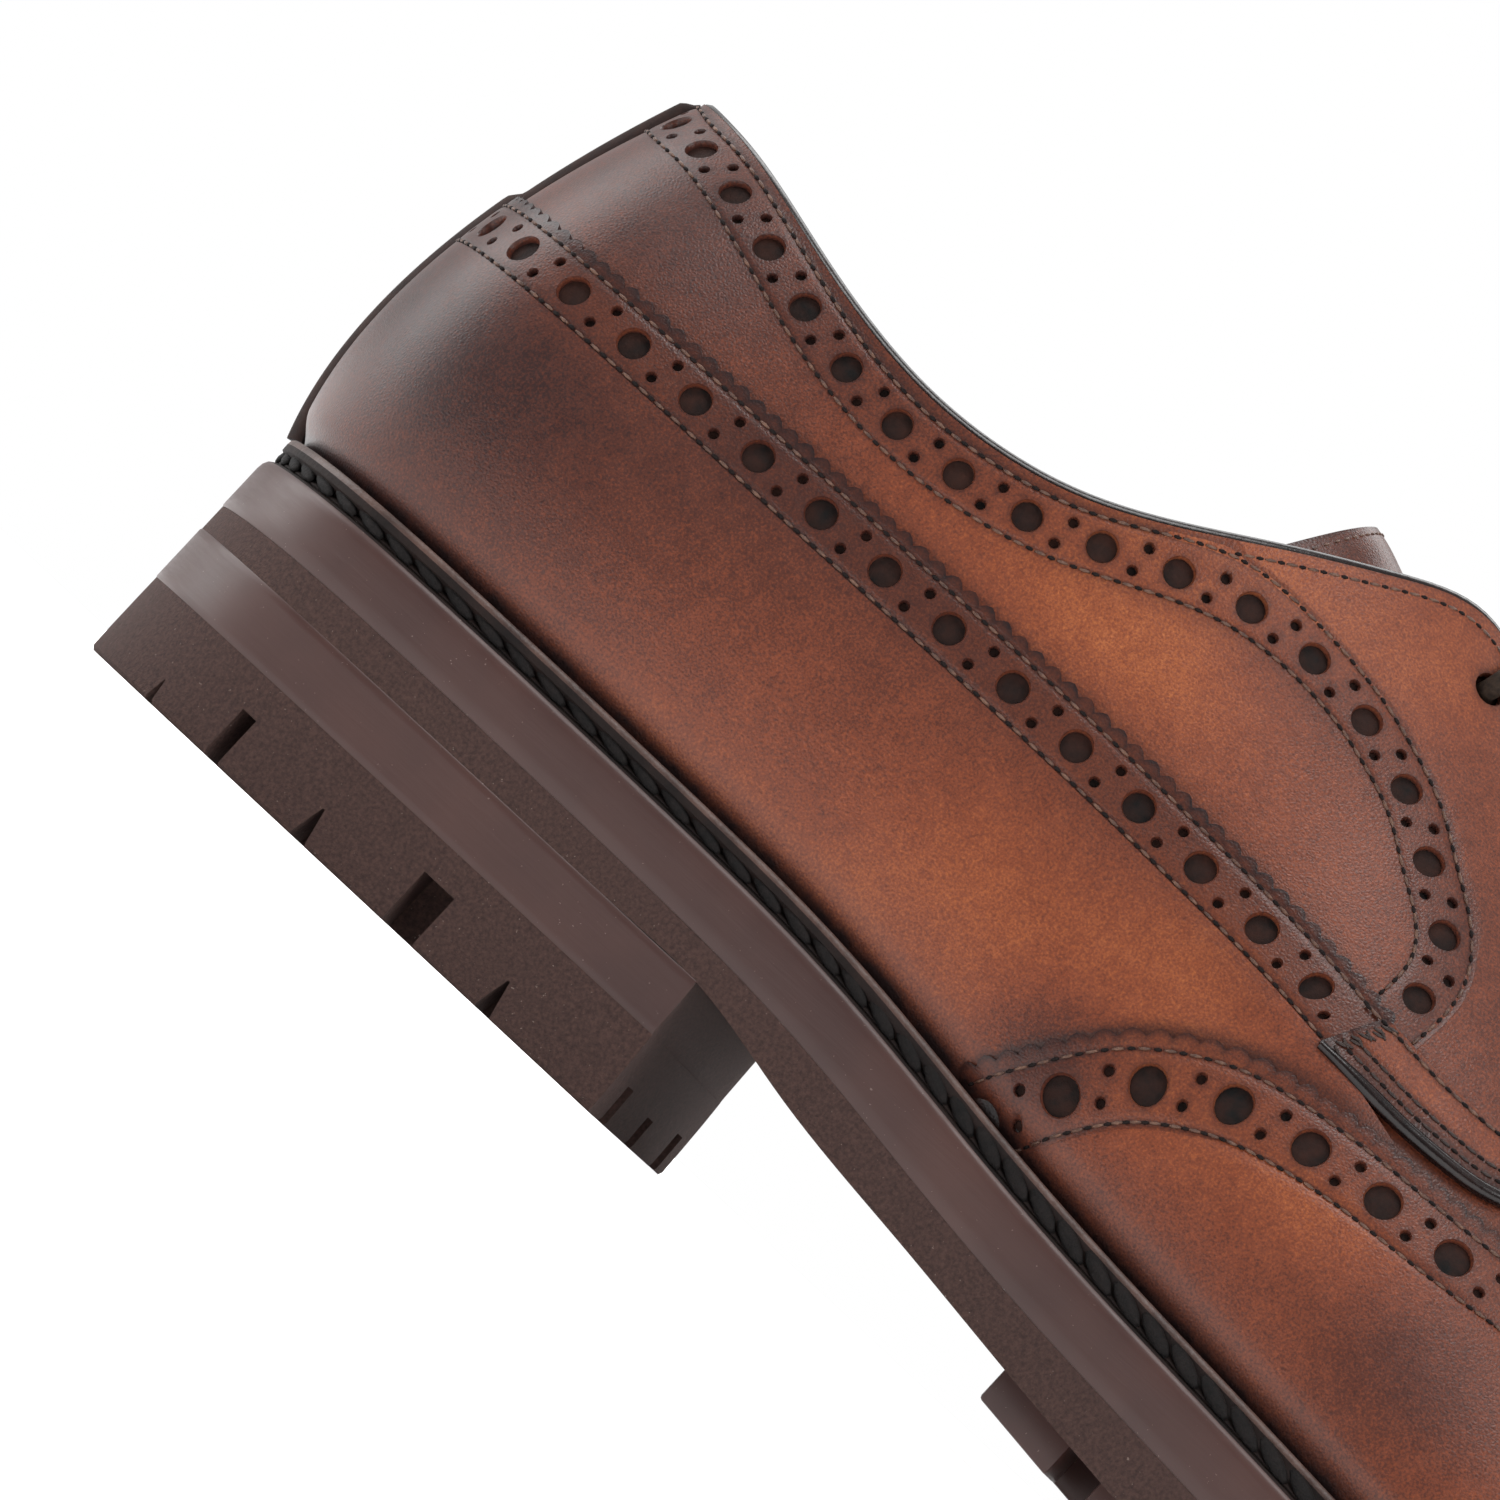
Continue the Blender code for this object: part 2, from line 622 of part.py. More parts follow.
def heel():
    bm = bmesh.new()
    top = HEEL_TOP
    levels = [
        (BAND_STEP, HEEL_FRONT, top),
        (BAND_STEP, HEEL_FRONT, top - 0.4),
        (0.0, HEEL_FRONT + 0.3, top - 0.9),
        (0.0, HEEL_FRONT + 0.6, LIFT_TOP + 0.4),
        (BAND_STEP, HEEL_FRONT + 0.6, LIFT_TOP),
        (BAND_STEP, HEEL_FRONT + BREAST_SLANT, 0.0),
    ]
    rows = [[bm.verts.new(place(p)) for p in heel_loop(*level)] for level in levels]
    for k in range(len(rows) - 1):
        strip(bm, rows[k], rows[k + 1], True)
    for row in (rows[0], rows[-1]):
        bm.faces.new(row)
    block = finish(bm, "heel", RUBBER)
    cutters = []
    for row in NOTCH:
        edges = {-1.0: edge_y(angle_of(row["s"])), 1.0: edge_y(2.0 * math.pi - angle_of(row["s"]))}
        for side, y in edges.items():
            reach = sorted((y + side * 8.0, y - side * row["depth"]))
            low = (row["s"] - row["length"] / 2.0, reach[0], -5.0)
            high = (row["s"] + row["length"] / 2.0, reach[1], row["height"])
            cutters.append(box("notch", low, high))
    for row in CHANNEL:
        low = (row["s0"], row["y0"], -5.0)
        high = (row["s1"], row["y1"], row["depth"])
        cutters.append(box("channel", low, high))
    cut(block, cutters)
    return block


heel()

# Welt: slanted face with a lip that stands against the upper
welt_loops = [[] for _ in range(6)]
for phi in RING:
    rise = share_at(phi, meridian(phi)[0][2] + WELT_RISE)
    foot = skin(phi, 0.0)
    lip = skin(phi, rise)
    out = plan_out(phi)
    width = margin_at(station_of(half_angle(phi)))
    for loop, (inset, height) in zip(welt_loops, ((0.7, GAP), (0.7, 0.9), (1.5, 1.5), (0.0, 0.0))):
        x, y = edge_in(phi, inset)
        loop.append(np.array([x, y, sole_top(x) + height]))
    near = lip[:2] + out * 1.5
    welt_loops[3][-1] = np.array([near[0], near[1], lip[2] - 0.5])
    against = lip[:2] + out * GAP
    welt_loops[4].append(np.array([against[0], against[1], lip[2]]))
    base = foot[:2] + out * GAP
    welt_loops[5].append(np.array([base[0], base[1], sole_top(base[0]) + GAP]))
ring_solid("welt", welt_loops, WELT_RUBBER)

# Insole: board inside the foot of the upper
def insole_loop(lift):
    loop = []
    for phi in RING[::2]:
        x, y = edge_in(phi, margin_at(station_of(half_angle(phi))) + WALL + 0.6)
        loop.append(np.array([x, y, sole_top(x) + GAP + lift]))
    return loop


plate_solid("insole", [insole_loop(INSOLE_THICK), insole_loop(0.0)], LINING)

# Upper: outer and inner faces from the same sections, open below and along collar and throat
UPPER_ROWS = (0.0, 0.08, 0.18, 0.30, 0.43, 0.56, 0.70, 0.85, 1.0)


def upper():
    bm = bmesh.new()
    sides = []
    for lift in (0.0, -WALL):
        grid = []
        for t in UPPER_ROWS:
            grid.append([bm.verts.new(place(skin(phi, t, lift))) for phi in RING])
        last = grid[-1]
        for k in range(THROAT_STEP, STEPS):
            bm.verts.remove(last[2 * STEPS - k])
            last[2 * STEPS - k] = last[k]
        sides.append(grid)
    for grid in sides:
        for k in range(len(grid) - 1):
            strip(bm, grid[k], grid[k + 1], True)
    outer, inner = sides
    strip(bm, outer[0], inner[0], True)
    collar = [k % (2 * STEPS) for k in range(-THROAT_STEP, THROAT_STEP + 1)]
    strip(bm, [outer[-1][k] for k in collar], [inner[-1][k] for k in collar], False)
    return finish(bm, "upper", LEATHER)


shell = upper()


def sheet(name, rows, lift, mat, ridge=False):
    """Panel over the upper: rows of places on the skin, from lift up to lift plus the leather."""
    low = [[skin(phi, t, lift) for phi, t in row] for row in rows]
    high = [[skin(phi, t, lift + PANEL) for phi, t in row] for row in rows]
    return panel_solid(name, low, high, mat, ridge)


# Counter panel: from the welt's lip to the strip line, and round the wing in front
wing_share = column([row for row in WING if row["s"] < 170.0], "share")
foxing_top = column(FOXING, "height")
FOXING_FRONT = angle_of(135.5)
fox_rows = [[] for _ in range(6)]
for k in range(-24, 25):
    phi = FOXING_FRONT * k / 24.0
    s = station_of(abs(phi))
    low = share_at(phi, meridian(phi)[0][2] + WELT_RISE + 0.6)
    if s > 105.0:
        low = low + (1.0 - low) * (max(wing_share(max(s, 109.0)), 0.0) + 0.03)
    high = share_at(phi, foxing_top(s))
    for row, f in zip(fox_rows, np.linspace(0.0, 1.0, 6)):
        row.append((phi, low + (high - low) * f))
sheet("foxing", fox_rows, PANEL_LIFT, PANEL_LEATHER)

# Wing cap: each row runs from the wing's edge on one side round the toe to the other side
wing_rows = []
for row in WING:
    start = angle_of(row["s"])
    line = []
    for k in range(37):
        phi = start + (2.0 * math.pi - 2.0 * start) * k / 36.0
        low = share_at(phi, meridian(phi)[0][2] + WELT_RISE + 0.6)
        line.append((phi, low + (1.0 - low) * row["share"]))
    wing_rows.append(line)
sheet("wing_cap", wing_rows, PANEL_LIFT, PANEL_LEATHER, ridge=True)

# Eyestay flaps with their eyelet holes, and the same holes through the shell behind them
eyelet_places = []
for k in range(EYELETS):
    phi = angle_of(EYELET_FIRST + (EYELET_LAST - EYELET_FIRST) * k / (EYELETS - 1))
    eyelet_places.append((phi, share_below(phi, EYELET_INSET)))


def eyelet_cutters(side):
    cutters = []
    for phi, t in eyelet_places:
        centre = skin(side * phi, t)
        axis = Vector(normal(side * phi, t))
        turn = axis.to_track_quat("Z", "Y").to_matrix().to_4x4()
        bm = bmesh.new()
        bmesh.ops.create_cone(bm, cap_ends=True, segments=10, radius1=EYELET_R * MM, radius2=EYELET_R * MM,
                              depth=9.0 * MM, matrix=Matrix.Translation(place(centre)) @ turn)
        cutters.append(finish(bm, "eyelet", LEATHER))
    return cutters


for name, side in (("facing_lateral", 1.0), ("facing_medial", -1.0)):
    flap_rows = []
    for row in FLAP:
        a = angle_of(row["rear"])
        b = angle_of(row["front"])
        rise = row["front_share"] - row["rear_share"]
        line = [(a + (b - a) * f, row["rear_share"] + rise * f) for f in np.linspace(0.0, 1.0, 11)]
        flap_rows.append([(side * phi, t) for phi, t in line])
    flap = sheet(name, flap_rows, PANEL_LIFT, PANEL_LEATHER)
    cut(flap, eyelet_cutters(side))
    cut(shell, eyelet_cutters(side))

# Back strip: over the counter panel below, over the shell above
strip_low = []
strip_high = []
for row in STRIP:
    strip_low.append([skin(STRIP_HALF * f, row["share"], row["lift"]) for f in (-1.0, 0.0, 1.0)])
    over = row["lift"] + STRIP_THICK
    strip_high.append([skin(STRIP_HALF * f, row["share"], over) for f in (-0.8, 0.0, 0.8)])
panel_solid("back_strip", strip_low, strip_high, PANEL_LEATHER)

# Tongue: follows the inner face of the upper under the flaps, then bends back at its tip
TONGUE_THICK = 1.8
tongue_low = []
tongue_high = []
for row in TONGUE:
    phi = angle_of(row["s"])
    lines = []
    for sink in (WALL + 0.9, WALL + 0.9 + TONGUE_THICK):
        halves = []
        for side in (1.0, -1.0):
            spots = [share_below(side * phi, row["reach"] * f) for f in (1.0, 0.55, 0.1)]
            halves.append([skin(side * phi, t, -sink) for t in spots])
        middle = 0.5 * (halves[0][-1] + halves[1][-1]) + np.array([0.0, 0.0, 0.4])
        lines.append(halves[0] + [middle] + halves[1][::-1])
    tongue_high.append(lines[0])
    tongue_low.append(lines[1])
for row in TIP:
    high = []
    for f in (-1.0, -0.66, -0.33, 0.0, 0.33, 0.66, 1.0):
        y = row["half"] * f
        high.append(np.array([row["s"], top_centre(row["s"]) + y, row["height"] - row["bend"] * y * y]))
    tongue_high.append(high)
    tongue_low.append([p + np.array([-0.4, 0.0, -TONGUE_THICK]) for p in high])
panel_solid("tongue", tongue_low, tongue_high, LEATHER)


# Lace: one straight bar across each pair of eyelets
def tube(name, path, radius, mat):
    bm = bmesh.new()
    rings = []
    for k, p in enumerate(path):
        ahead = path[min(k + 1, len(path) - 1)]
        behind = path[max(k - 1, 0)]
        turn = Vector(ahead - behind).to_track_quat("Z", "X").to_matrix()
        ring = []
        for j in range(6):
            a = 2.0 * math.pi * j / 6.0
            spoke = np.array(turn @ Vector((math.cos(a), math.sin(a), 0.0)))
            ring.append(bm.verts.new(place(p + spoke * radius)))
        rings.append(ring)
    for k in range(len(rings) - 1):
        strip(bm, rings[k], rings[k + 1], True)
    bm.faces.new(rings[0])
    bm.faces.new(rings[-1])
    return finish(bm, name, mat)


LACE_LIFT = GAP + PANEL + 1.2 + LACE_R
for k, (phi, t) in enumerate(eyelet_places):
    path = []
    for side in (1.0, -1.0):
        half = [skin(side * phi, t + (0.99 - t) * f, LACE_LIFT) for f in (0.0, 0.3, 0.6, 1.0)]
        path += half if side > 0.0 else half[::-1]
    tube("lace_bar_%d" % (k + 1), path, LACE_R, LACE_CORD)
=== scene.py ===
# %% [markdown]
# # A brogue derby shoe
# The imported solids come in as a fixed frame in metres: toe to +X, outer side of the foot to -Y,
# +Z up. Every piece below is draped over the same last as those solids, so it needs no fitting.

# %% Load the frame
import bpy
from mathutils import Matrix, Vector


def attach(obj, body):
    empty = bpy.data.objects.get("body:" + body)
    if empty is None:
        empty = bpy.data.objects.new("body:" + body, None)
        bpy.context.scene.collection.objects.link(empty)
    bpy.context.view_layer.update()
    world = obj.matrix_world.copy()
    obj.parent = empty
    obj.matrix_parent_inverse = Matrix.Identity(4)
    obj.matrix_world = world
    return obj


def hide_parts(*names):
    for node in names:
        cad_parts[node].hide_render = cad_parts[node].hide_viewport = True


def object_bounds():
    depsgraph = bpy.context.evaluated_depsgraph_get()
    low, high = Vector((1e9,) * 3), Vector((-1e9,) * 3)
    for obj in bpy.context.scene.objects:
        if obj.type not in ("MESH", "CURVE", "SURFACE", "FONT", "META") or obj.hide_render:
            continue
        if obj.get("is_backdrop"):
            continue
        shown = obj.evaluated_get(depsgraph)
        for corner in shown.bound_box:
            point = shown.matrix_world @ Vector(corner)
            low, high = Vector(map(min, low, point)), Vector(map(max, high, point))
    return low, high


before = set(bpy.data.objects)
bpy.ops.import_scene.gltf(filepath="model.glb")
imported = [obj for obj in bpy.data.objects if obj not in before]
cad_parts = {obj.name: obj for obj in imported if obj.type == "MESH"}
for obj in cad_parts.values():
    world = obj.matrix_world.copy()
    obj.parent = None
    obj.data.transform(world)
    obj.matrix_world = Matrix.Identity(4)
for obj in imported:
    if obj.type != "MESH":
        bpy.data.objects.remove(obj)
cad_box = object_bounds()
print("frame loaded:", len(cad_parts), "nodes")

# %% Tools and units
import math

import bmesh
import bpy
import numpy as np
from mathutils import Matrix, Vector

MM = 0.001
AXIS_S = 151.0
LENGTH = 306.0


def place(points):
    """Station, side and height in millimetres to the frame's metres."""
    return (np.asarray(points, dtype=float) - np.array([AXIS_S, 0.0, 0.0])) * MM


# %% [markdown]
# ## Camera
# The picture is taken from the outer side, a little towards the toe, and the shoe is rolled in
# the frame so that its toe points down to the right. The roll belongs to the camera, because the
# shoe itself stands on the floor. The lens is long, and the camera stops just above the floor.

# %% Camera
LOOK_AT = (68.6, -33.0, 40.75)
TURN = math.radians(10.2)
RISE = math.radians(-2.16)
ROLL = math.radians(42.95)
DISTANCE = 1.0
LENS = 220.7

back = Vector((math.sin(TURN) * math.cos(RISE), -math.cos(TURN) * math.cos(RISE), math.sin(RISE)))
level = Vector((math.cos(TURN), math.sin(TURN), 0.0))
upright = back.cross(level)
right = level * math.cos(ROLL) + upright * math.sin(ROLL)
up = upright * math.cos(ROLL) - level * math.sin(ROLL)
camera = bpy.data.objects.new("camera", bpy.data.cameras.new("camera"))
camera.data.lens = LENS
camera.data.sensor_width = 36.0
camera.data.clip_start = 0.01
stand = Vector(place(LOOK_AT)) + back * DISTANCE
camera.matrix_world = Matrix.Translation(stand) @ Matrix((right, up, back)).transposed().to_4x4()
bpy.context.collection.objects.link(camera)
bpy.context.scene.camera = camera
print("camera height over the floor, mm:", round(stand.z * 1000.0, 1))

# %% [markdown]
# ## Node helpers
# Materials are built from nodes. Two small helpers keep each material readable: one adds a node
# and sets its inputs, the other makes a group with named sockets, so that an effect that several
# finishes share is built once.


# %% Node helpers
def srgb(r, g, b):
    """A colour as a picture editor shows it, turned into the linear values that Blender uses."""
    def line(v):
        v = v / 255.0
        return v / 12.92 if v <= 0.04045 else ((v + 0.055) / 1.055) ** 2.4
    return (line(r), line(g), line(b), 1.0)


def add(tree, kind, inputs=None, **settings):
    """A node with its settings, and its inputs set to values or linked to other sockets."""
    node = tree.nodes.new(kind)
    for key, value in settings.items():
        setattr(node, key, value)
    for key, value in (inputs or {}).items():
        if isinstance(value, bpy.types.NodeSocket):
            tree.links.new(value, node.inputs[key])
        else:
            node.inputs[key].default_value = value
    return node


def maths(tree, operation, one, two=0.0, clamp=False):
    """The result of one sum on two values or sockets."""
    return add(tree, "ShaderNodeMath", {0: one, 1: two}, operation=operation, use_clamp=clamp).outputs[0]


def blend_colour(tree, factor, one, two):
    """Two colours mixed by a factor. A mix node keeps its colour sockets at 6 and 7."""
    return add(tree, "ShaderNodeMix", {0: factor, 6: one, 7: two}, data_type="RGBA").outputs[2]


def ramp(tree, factor, stops):
    node = add(tree, "ShaderNodeValToRGB", {"Fac": factor})
    points = node.color_ramp.elements
    while len(points) < len(stops):
        points.new(0.5)
    for point, (where, colour) in zip(points, stops):
        point.position = where
        point.color = colour
    return node.outputs["Color"]


def group(name, inputs, outputs):
    """An empty node group with named sockets: (name, kind, default)."""
    tree = bpy.data.node_groups.new(name, "ShaderNodeTree")
    for label, kind, value in inputs:
        socket = tree.interface.new_socket(label, in_out="INPUT", socket_type="NodeSocket" + kind)
        socket.default_value = value
    for label, kind in outputs:
        tree.interface.new_socket(label, in_out="OUTPUT", socket_type="NodeSocket" + kind)
    return tree, add(tree, "NodeGroupInput"), add(tree, "NodeGroupOutput")


def noise(tree, where, scale, detail=3.0, rough=0.5):
    return add(tree, "ShaderNodeTexNoise", {"Vector": where, "Scale": scale, "Detail": detail,
                                            "Roughness": rough}).outputs["Fac"]


def new_finish(name):
    finish = bpy.data.materials.new(name)
    finish.use_nodes = True
    return finish, finish.node_tree, finish.node_tree.nodes["Principled BSDF"]


# %% [markdown]
# ## Calf leather
# The leather is hand-burnished: tan where it was left alone, red-brown over most of the shoe, and
# nearly black along edges and holes. Two numbers painted on each vertex say how warm and how dark a
# place is. The dark one carries the burnish and also painted shade: in the crease at the welt, beside
# and under the wing and the bands, and on the walls of the holes. The warm one also carries a few
# painted highlights. The patina group turns them into a colour and adds clouding, and the grain
# group gives the fine pores.

# %% Leather groups
patina, inner, outer = group(
    "calf_patina_and_shade",
    [("Warm", "Float", 0.4), ("Burnish_and_shade", "Float", 0.0)],
    [("Color", "Color"), ("Roughness", "Float")])
where = add(patina, "ShaderNodeTexCoord").outputs["Object"]
cloud = noise(patina, where, 26.0, 3.0, 0.55)
fine = noise(patina, where, 420.0, 4.0, 0.65)
speck = noise(patina, where, 3300.0, 2.0, 0.6)
sway = inner.outputs["Warm"]
for spots, amount in ((cloud, 0.42), (fine, 0.26), (speck, 0.85)):
    change = maths(patina, "MULTIPLY", maths(patina, "SUBTRACT", spots, 0.5), amount)
    sway = maths(patina, "ADD", sway, change)
warmth = maths(patina, "MAXIMUM", sway, 0.0, True)
hide = ramp(patina, warmth, [
    (0.0, srgb(51, 32, 31)), (0.3, srgb(91, 48, 36)), (0.55, srgb(127, 65, 42)),
    (0.78, srgb(158, 87, 50)), (1.0, srgb(191, 115, 66))])
# The dark value mixes the hide towards near-black: real burnish, and painted shade where the pieces set it.
dark = maths(patina, "MULTIPLY", inner.outputs["Burnish_and_shade"], maths(patina, "ADD", fine, 0.45), True)
hide = blend_colour(patina, dark, hide, srgb(40, 27, 27))
patina.links.new(hide, outer.inputs["Color"])
gloss = maths(patina, "ADD", maths(patina, "MULTIPLY", fine, 0.16), 0.29)
gloss = maths(patina, "SUBTRACT", gloss, maths(patina, "MULTIPLY", dark, 0.08))
patina.links.new(gloss, outer.inputs["Roughness"])

grain, inner, outer = group(
    "leather_grain", [("Pores", "Float", 1300.0)], [("Height", "Float")])
where = add(grain, "ShaderNodeTexCoord").outputs["Object"]
cells = add(grain, "ShaderNodeTexVoronoi", {"Vector": where, "Scale": inner.outputs["Pores"]},
            feature="DISTANCE_TO_EDGE").outputs["Distance"]
pits = maths(grain, "MULTIPLY", cells, 2.2, True)
tiny = noise(grain, where, 4200.0, 2.0)
grain.links.new(maths(grain, "ADD", maths(grain, "MULTIPLY", pits, 0.7),
                      maths(grain, "MULTIPLY", tiny, 0.5)), outer.inputs["Height"])


def calf(name, pores, bump):
    """Burnished calf: the colour follows the piece's own warm and burnish values."""
    finish, tree, shader = new_finish(name)
    warm = add(tree, "ShaderNodeAttribute", attribute_name="warm").outputs["Fac"]
    burnish_and_shade = add(tree, "ShaderNodeAttribute", attribute_name="burnish_and_shade").outputs["Fac"]
    colour = add(tree, "ShaderNodeGroup", {"Warm": warm, "Burnish_and_shade": burnish_and_shade}, node_tree=patina)
    pattern = add(tree, "ShaderNodeGroup", {"Pores": pores}, node_tree=grain)
    relief = add(tree, "ShaderNodeBump", {"Height": pattern.outputs["Height"], "Strength": 1.0,
                                          "Distance": bump})
    tree.links.new(colour.outputs["Color"], shader.inputs["Base Color"])
    tree.links.new(colour.outputs["Roughness"], shader.inputs["Roughness"])
    tree.links.new(relief.outputs["Normal"], shader.inputs["Normal"])
    shader.inputs["Specular IOR Level"].default_value = 0.42
    return finish


CALF = calf("burnished_calf", 2100.0, 0.000032)
print("leather finishes ready")


# %% [markdown]
# ## Plain finishes
# Thread, edge wax, lining, welt, lace and rubber each have their own colour with a little
# variation, and a bump at the scale of the real surface. The rubber also carries scattered dust.
# Some finishes also paint light and shade: the welt comes as a dark shaded copy and a lighter ridge
# that is a painted highlight, and the hole backing and the needle holes are near-black painted shade.

# %% Plain finishes
DUST_SCALE = 2200.0
DUST_LEVEL = 0.735
DUST_COLOUR = srgb(150, 132, 124)


def mottled(name, one, two, scale, rough, bump, bump_scale, brushed=1.0, dust=0.0):
    """A finish between two colours, with a noise bump that can be drawn out into level streaks."""
    finish, tree, shader = new_finish(name)
    where = add(tree, "ShaderNodeTexCoord").outputs["Object"]
    colour = ramp(tree, noise(tree, where, scale, 3.0, 0.6), [(0.3, srgb(*one)), (0.7, srgb(*two))])
    if dust:
        grit = maths(tree, "GREATER_THAN", noise(tree, where, DUST_SCALE, 2.0, 0.6), DUST_LEVEL)
        colour = blend_colour(tree, maths(tree, "MULTIPLY", grit, dust), colour, DUST_COLOUR)
    tree.links.new(colour, shader.inputs["Base Color"])
    drawn = add(tree, "ShaderNodeMapping", {"Vector": where, "Scale": (1.0, 1.0, brushed)})
    height = noise(tree, drawn.outputs["Vector"], bump_scale, 4.0, 0.65)
    relief = add(tree, "ShaderNodeBump", {"Height": height, "Strength": 1.0, "Distance": bump})
    tree.links.new(relief.outputs["Normal"], shader.inputs["Normal"])
    level_out = maths(tree, "ADD", maths(tree, "MULTIPLY", height, 0.2), rough - 0.1)
    tree.links.new(level_out, shader.inputs["Roughness"])
    shader.inputs["Specular IOR Level"].default_value = 0.25 if rough > 0.7 else 0.5
    return finish


THREAD = mottled("brown_thread", (64, 41, 33), (118, 84, 66), 1400.0, 0.42, 0.00008, 4000.0)
DARK_THREAD = mottled("dark_thread", (34, 22, 19), (58, 40, 33), 1400.0, 0.45, 0.00005, 4000.0)
# Near-black balls that paint the shade inside each needle hole.
NEEDLE_SHADE = mottled("needle_hole_shade", (16, 9, 8), (26, 15, 13), 900.0, 0.75, 0.00003, 4000.0)
EDGE_WAX = mottled("waxed_edge", (15, 9, 9), (34, 20, 18), 300.0, 0.24, 0.00003, 1500.0)
# Near-black backing seen through the holes: painted shade at the hole bottoms, with reddish patches as
# painted glints.
UNDERLAY_SHADE = mottled("hole_backing_shade", (9, 7, 7), (54, 27, 18), 300.0, 0.72, 0.00012, 1500.0)
LINING = mottled("tan_lining", (150, 106, 70), (178, 130, 90), 60.0, 0.6, 0.00006, 1800.0)
# The welt leather's own dark colour, darkened further as the shaded copy beside the ridge; on the midsole's
# top bevel it is painted shade under the welt.
WELT_AND_SHADE = mottled("welt_leather_and_shade", (20, 13, 12), (36, 24, 21), 220.0, 0.72, 0.00008, 1500.0)
# A lighter copy of the welt leather for the ridge's top: a painted highlight.
RIDGE_HIGHLIGHT = mottled("welt_ridge_highlight", (58, 40, 35), (92, 68, 60), 220.0, 0.42, 0.00008, 1500.0)
ROPE = mottled("welt_thread", (9, 7, 7), (24, 18, 17), 700.0, 0.72, 0.00018, 2200.0)
SEAM_TAPE = mottled("seam_tape", (30, 18, 16), (52, 32, 27), 500.0, 0.72, 0.00006, 2000.0)
RUBBER = mottled("smooth_rubber", (66, 44, 41), (80, 54, 49), 45.0, 0.40, 0.00002, 160.0, 12.0, 0.5)
ROUGH_RUBBER = mottled("rough_rubber", (57, 42, 39), (84, 62, 57), 2300.0, 0.78, 0.00017, 3800.0, dust=0.6)
LACE = mottled("waxed_lace", (30, 21, 16), (58, 44, 34), 1500.0, 0.72, 0.0001, 2600.0)
print("plain finishes ready")


# %% [markdown]
# ## The last
# A shoe is built over a last. The tables repeat the ones behind the solids: the sole's outline,
# the side view, the topline and the sections. A place on the upper is an angle round the sole's
# edge (0 at the heel, pi at the toe, minus on the inner side) and a share of the way from the
# welt up to the topline or the ridge.

# %% Tables of the last
PLAN = {
    "s": (5, 15, 35, 60, 90, 120, 150, 180, 200, 217, 236, 255, 275, 290, 300),
    "lateral": (19, 29.8, 35.4, 35.8, 36.6, 41, 47.6, 53, 55, 54, 50.4, 44.6, 35.2, 24.8, 13.6),
    "medial": (19, 29.8, 35.2, 34.2, 31.2, 32, 39, 48.6, 53.4, 55, 53.6, 50.2, 43.8, 34.2, 23)}
MARGIN = {"s": (0, 40, 90, 130, 180, 220, 306), "width": (3.4, 3.6, 3.8, 4.6, 5.8, 6.2, 5.8)}
SIDE = {
    "s": (-3, 10, 35, 60, 72, 83, 97, 118, 138, 158, 175, 192, 207, 232, 252, 272, 290, 309),
    "top": (29, 29.8, 30.2, 30, 29.8, 29.45, 28.3, 25.4, 23.2, 21.7, 20.4, 19.3, 19, 19.7, 21.2,
            23.6, 26.8, 30.4),
    "under": (18.3, 18.3, 18.3, 18.3, 18.35, 18.1, 15.4, 12.5, 9.9, 7.6, 5.6, 4.2, 4.1, 4.9, 6.5,
              9.2, 12.8, 16.6)}
COLLAR = {
    "s": (0, 12.4, 20, 33, 45.5, 56, 66.5, 76.6, 86.3, 95.8, 105.1, 113.4, 121, 132, 145, 158, 167, 173),
    "half": (0, 14, 18.2, 23.2, 26.6, 28.4, 28.9, 28.2, 26, 22.4, 17.4, 11.8, 8.9, 7.8, 6.9, 5.5, 3.4, 0)}
TOP = {
    "s": COLLAR["s"] + (186, 200, 216, 234, 255, 280, 306),
    "lateral": (92.2, 90.9, 89.5, 86.4, 83.8, 82.7, 83.4, 86.1, 91.1, 97.3, 103.2, 107.2, 105.8, 100.4,
                93.2, 86, 81.2, 78.2, 72.4, 67, 61.8, 57.4, 54, 51.4, 50.2),
    "medial": (92.2, 91, 89.8, 87.2, 85.3, 84.6, 85.4, 88, 92.5, 98.2, 103.6, 107.3, 105.8, 100.4,
               93.2, 86, 81.2, 78.2, 72.4, 67, 61.8, 57.4, 54, 51.4, 50.2),
    "centre": (0, 0, 0, 0, 0, 0, 0, 0, 0, 0.2, 0.5, 0.8, 1, 1.5, 2, 2.6, 3, 3.2, 3.7, 4.2, 4.6, 4.8,
               4.8, 4.7, 4.6)}
SECTION = {
    "s": (0, 8, 20, 40, 60, 86, 105, 116, 130, 150, 173, 215, 250, 306),
    "flare": (8.8, 8, 6.8, 5.4, 4.8, 4.6, 5.2, 5.6, 6, 5.8, 5, 4.2, 3.8, 3),
    "inner_flare": (8.8, 8, 6.8, 5.6, 5.6, 7.4, 9, 9.4, 9, 7.4, 5.6, 4.4, 3.8, 3),
    "wall": (17.5, 17.5, 17.5, 18, 18, 19, 20, 20.5, 20.5, 20, 19, 16, 14, 12),
    "crown": (1.47, 1.26, 1, 0.82, 0.76, 0.72, 0.66, 0.62, 0.59, 0.57, 0.57, 0.6, 0.62, 0.62),
    "drop": (19.2, 19, 18.5, 18, 18, 20, 21, 17, 11, 6, 1.5, 0, 0, 0)}
TIP_Y = 4.5
GAP = 0.3
WALL = 2.0
BACK_LEAN = 8.6
LEAN_ENDS = 60.0
TOE_PULL = 36.0
TOE_FROM = 220.0
WELT_RISE = 3.6
THROAT_S = LENGTH * 0.5 * (1.0 - math.cos(math.pi * 26 / 48))


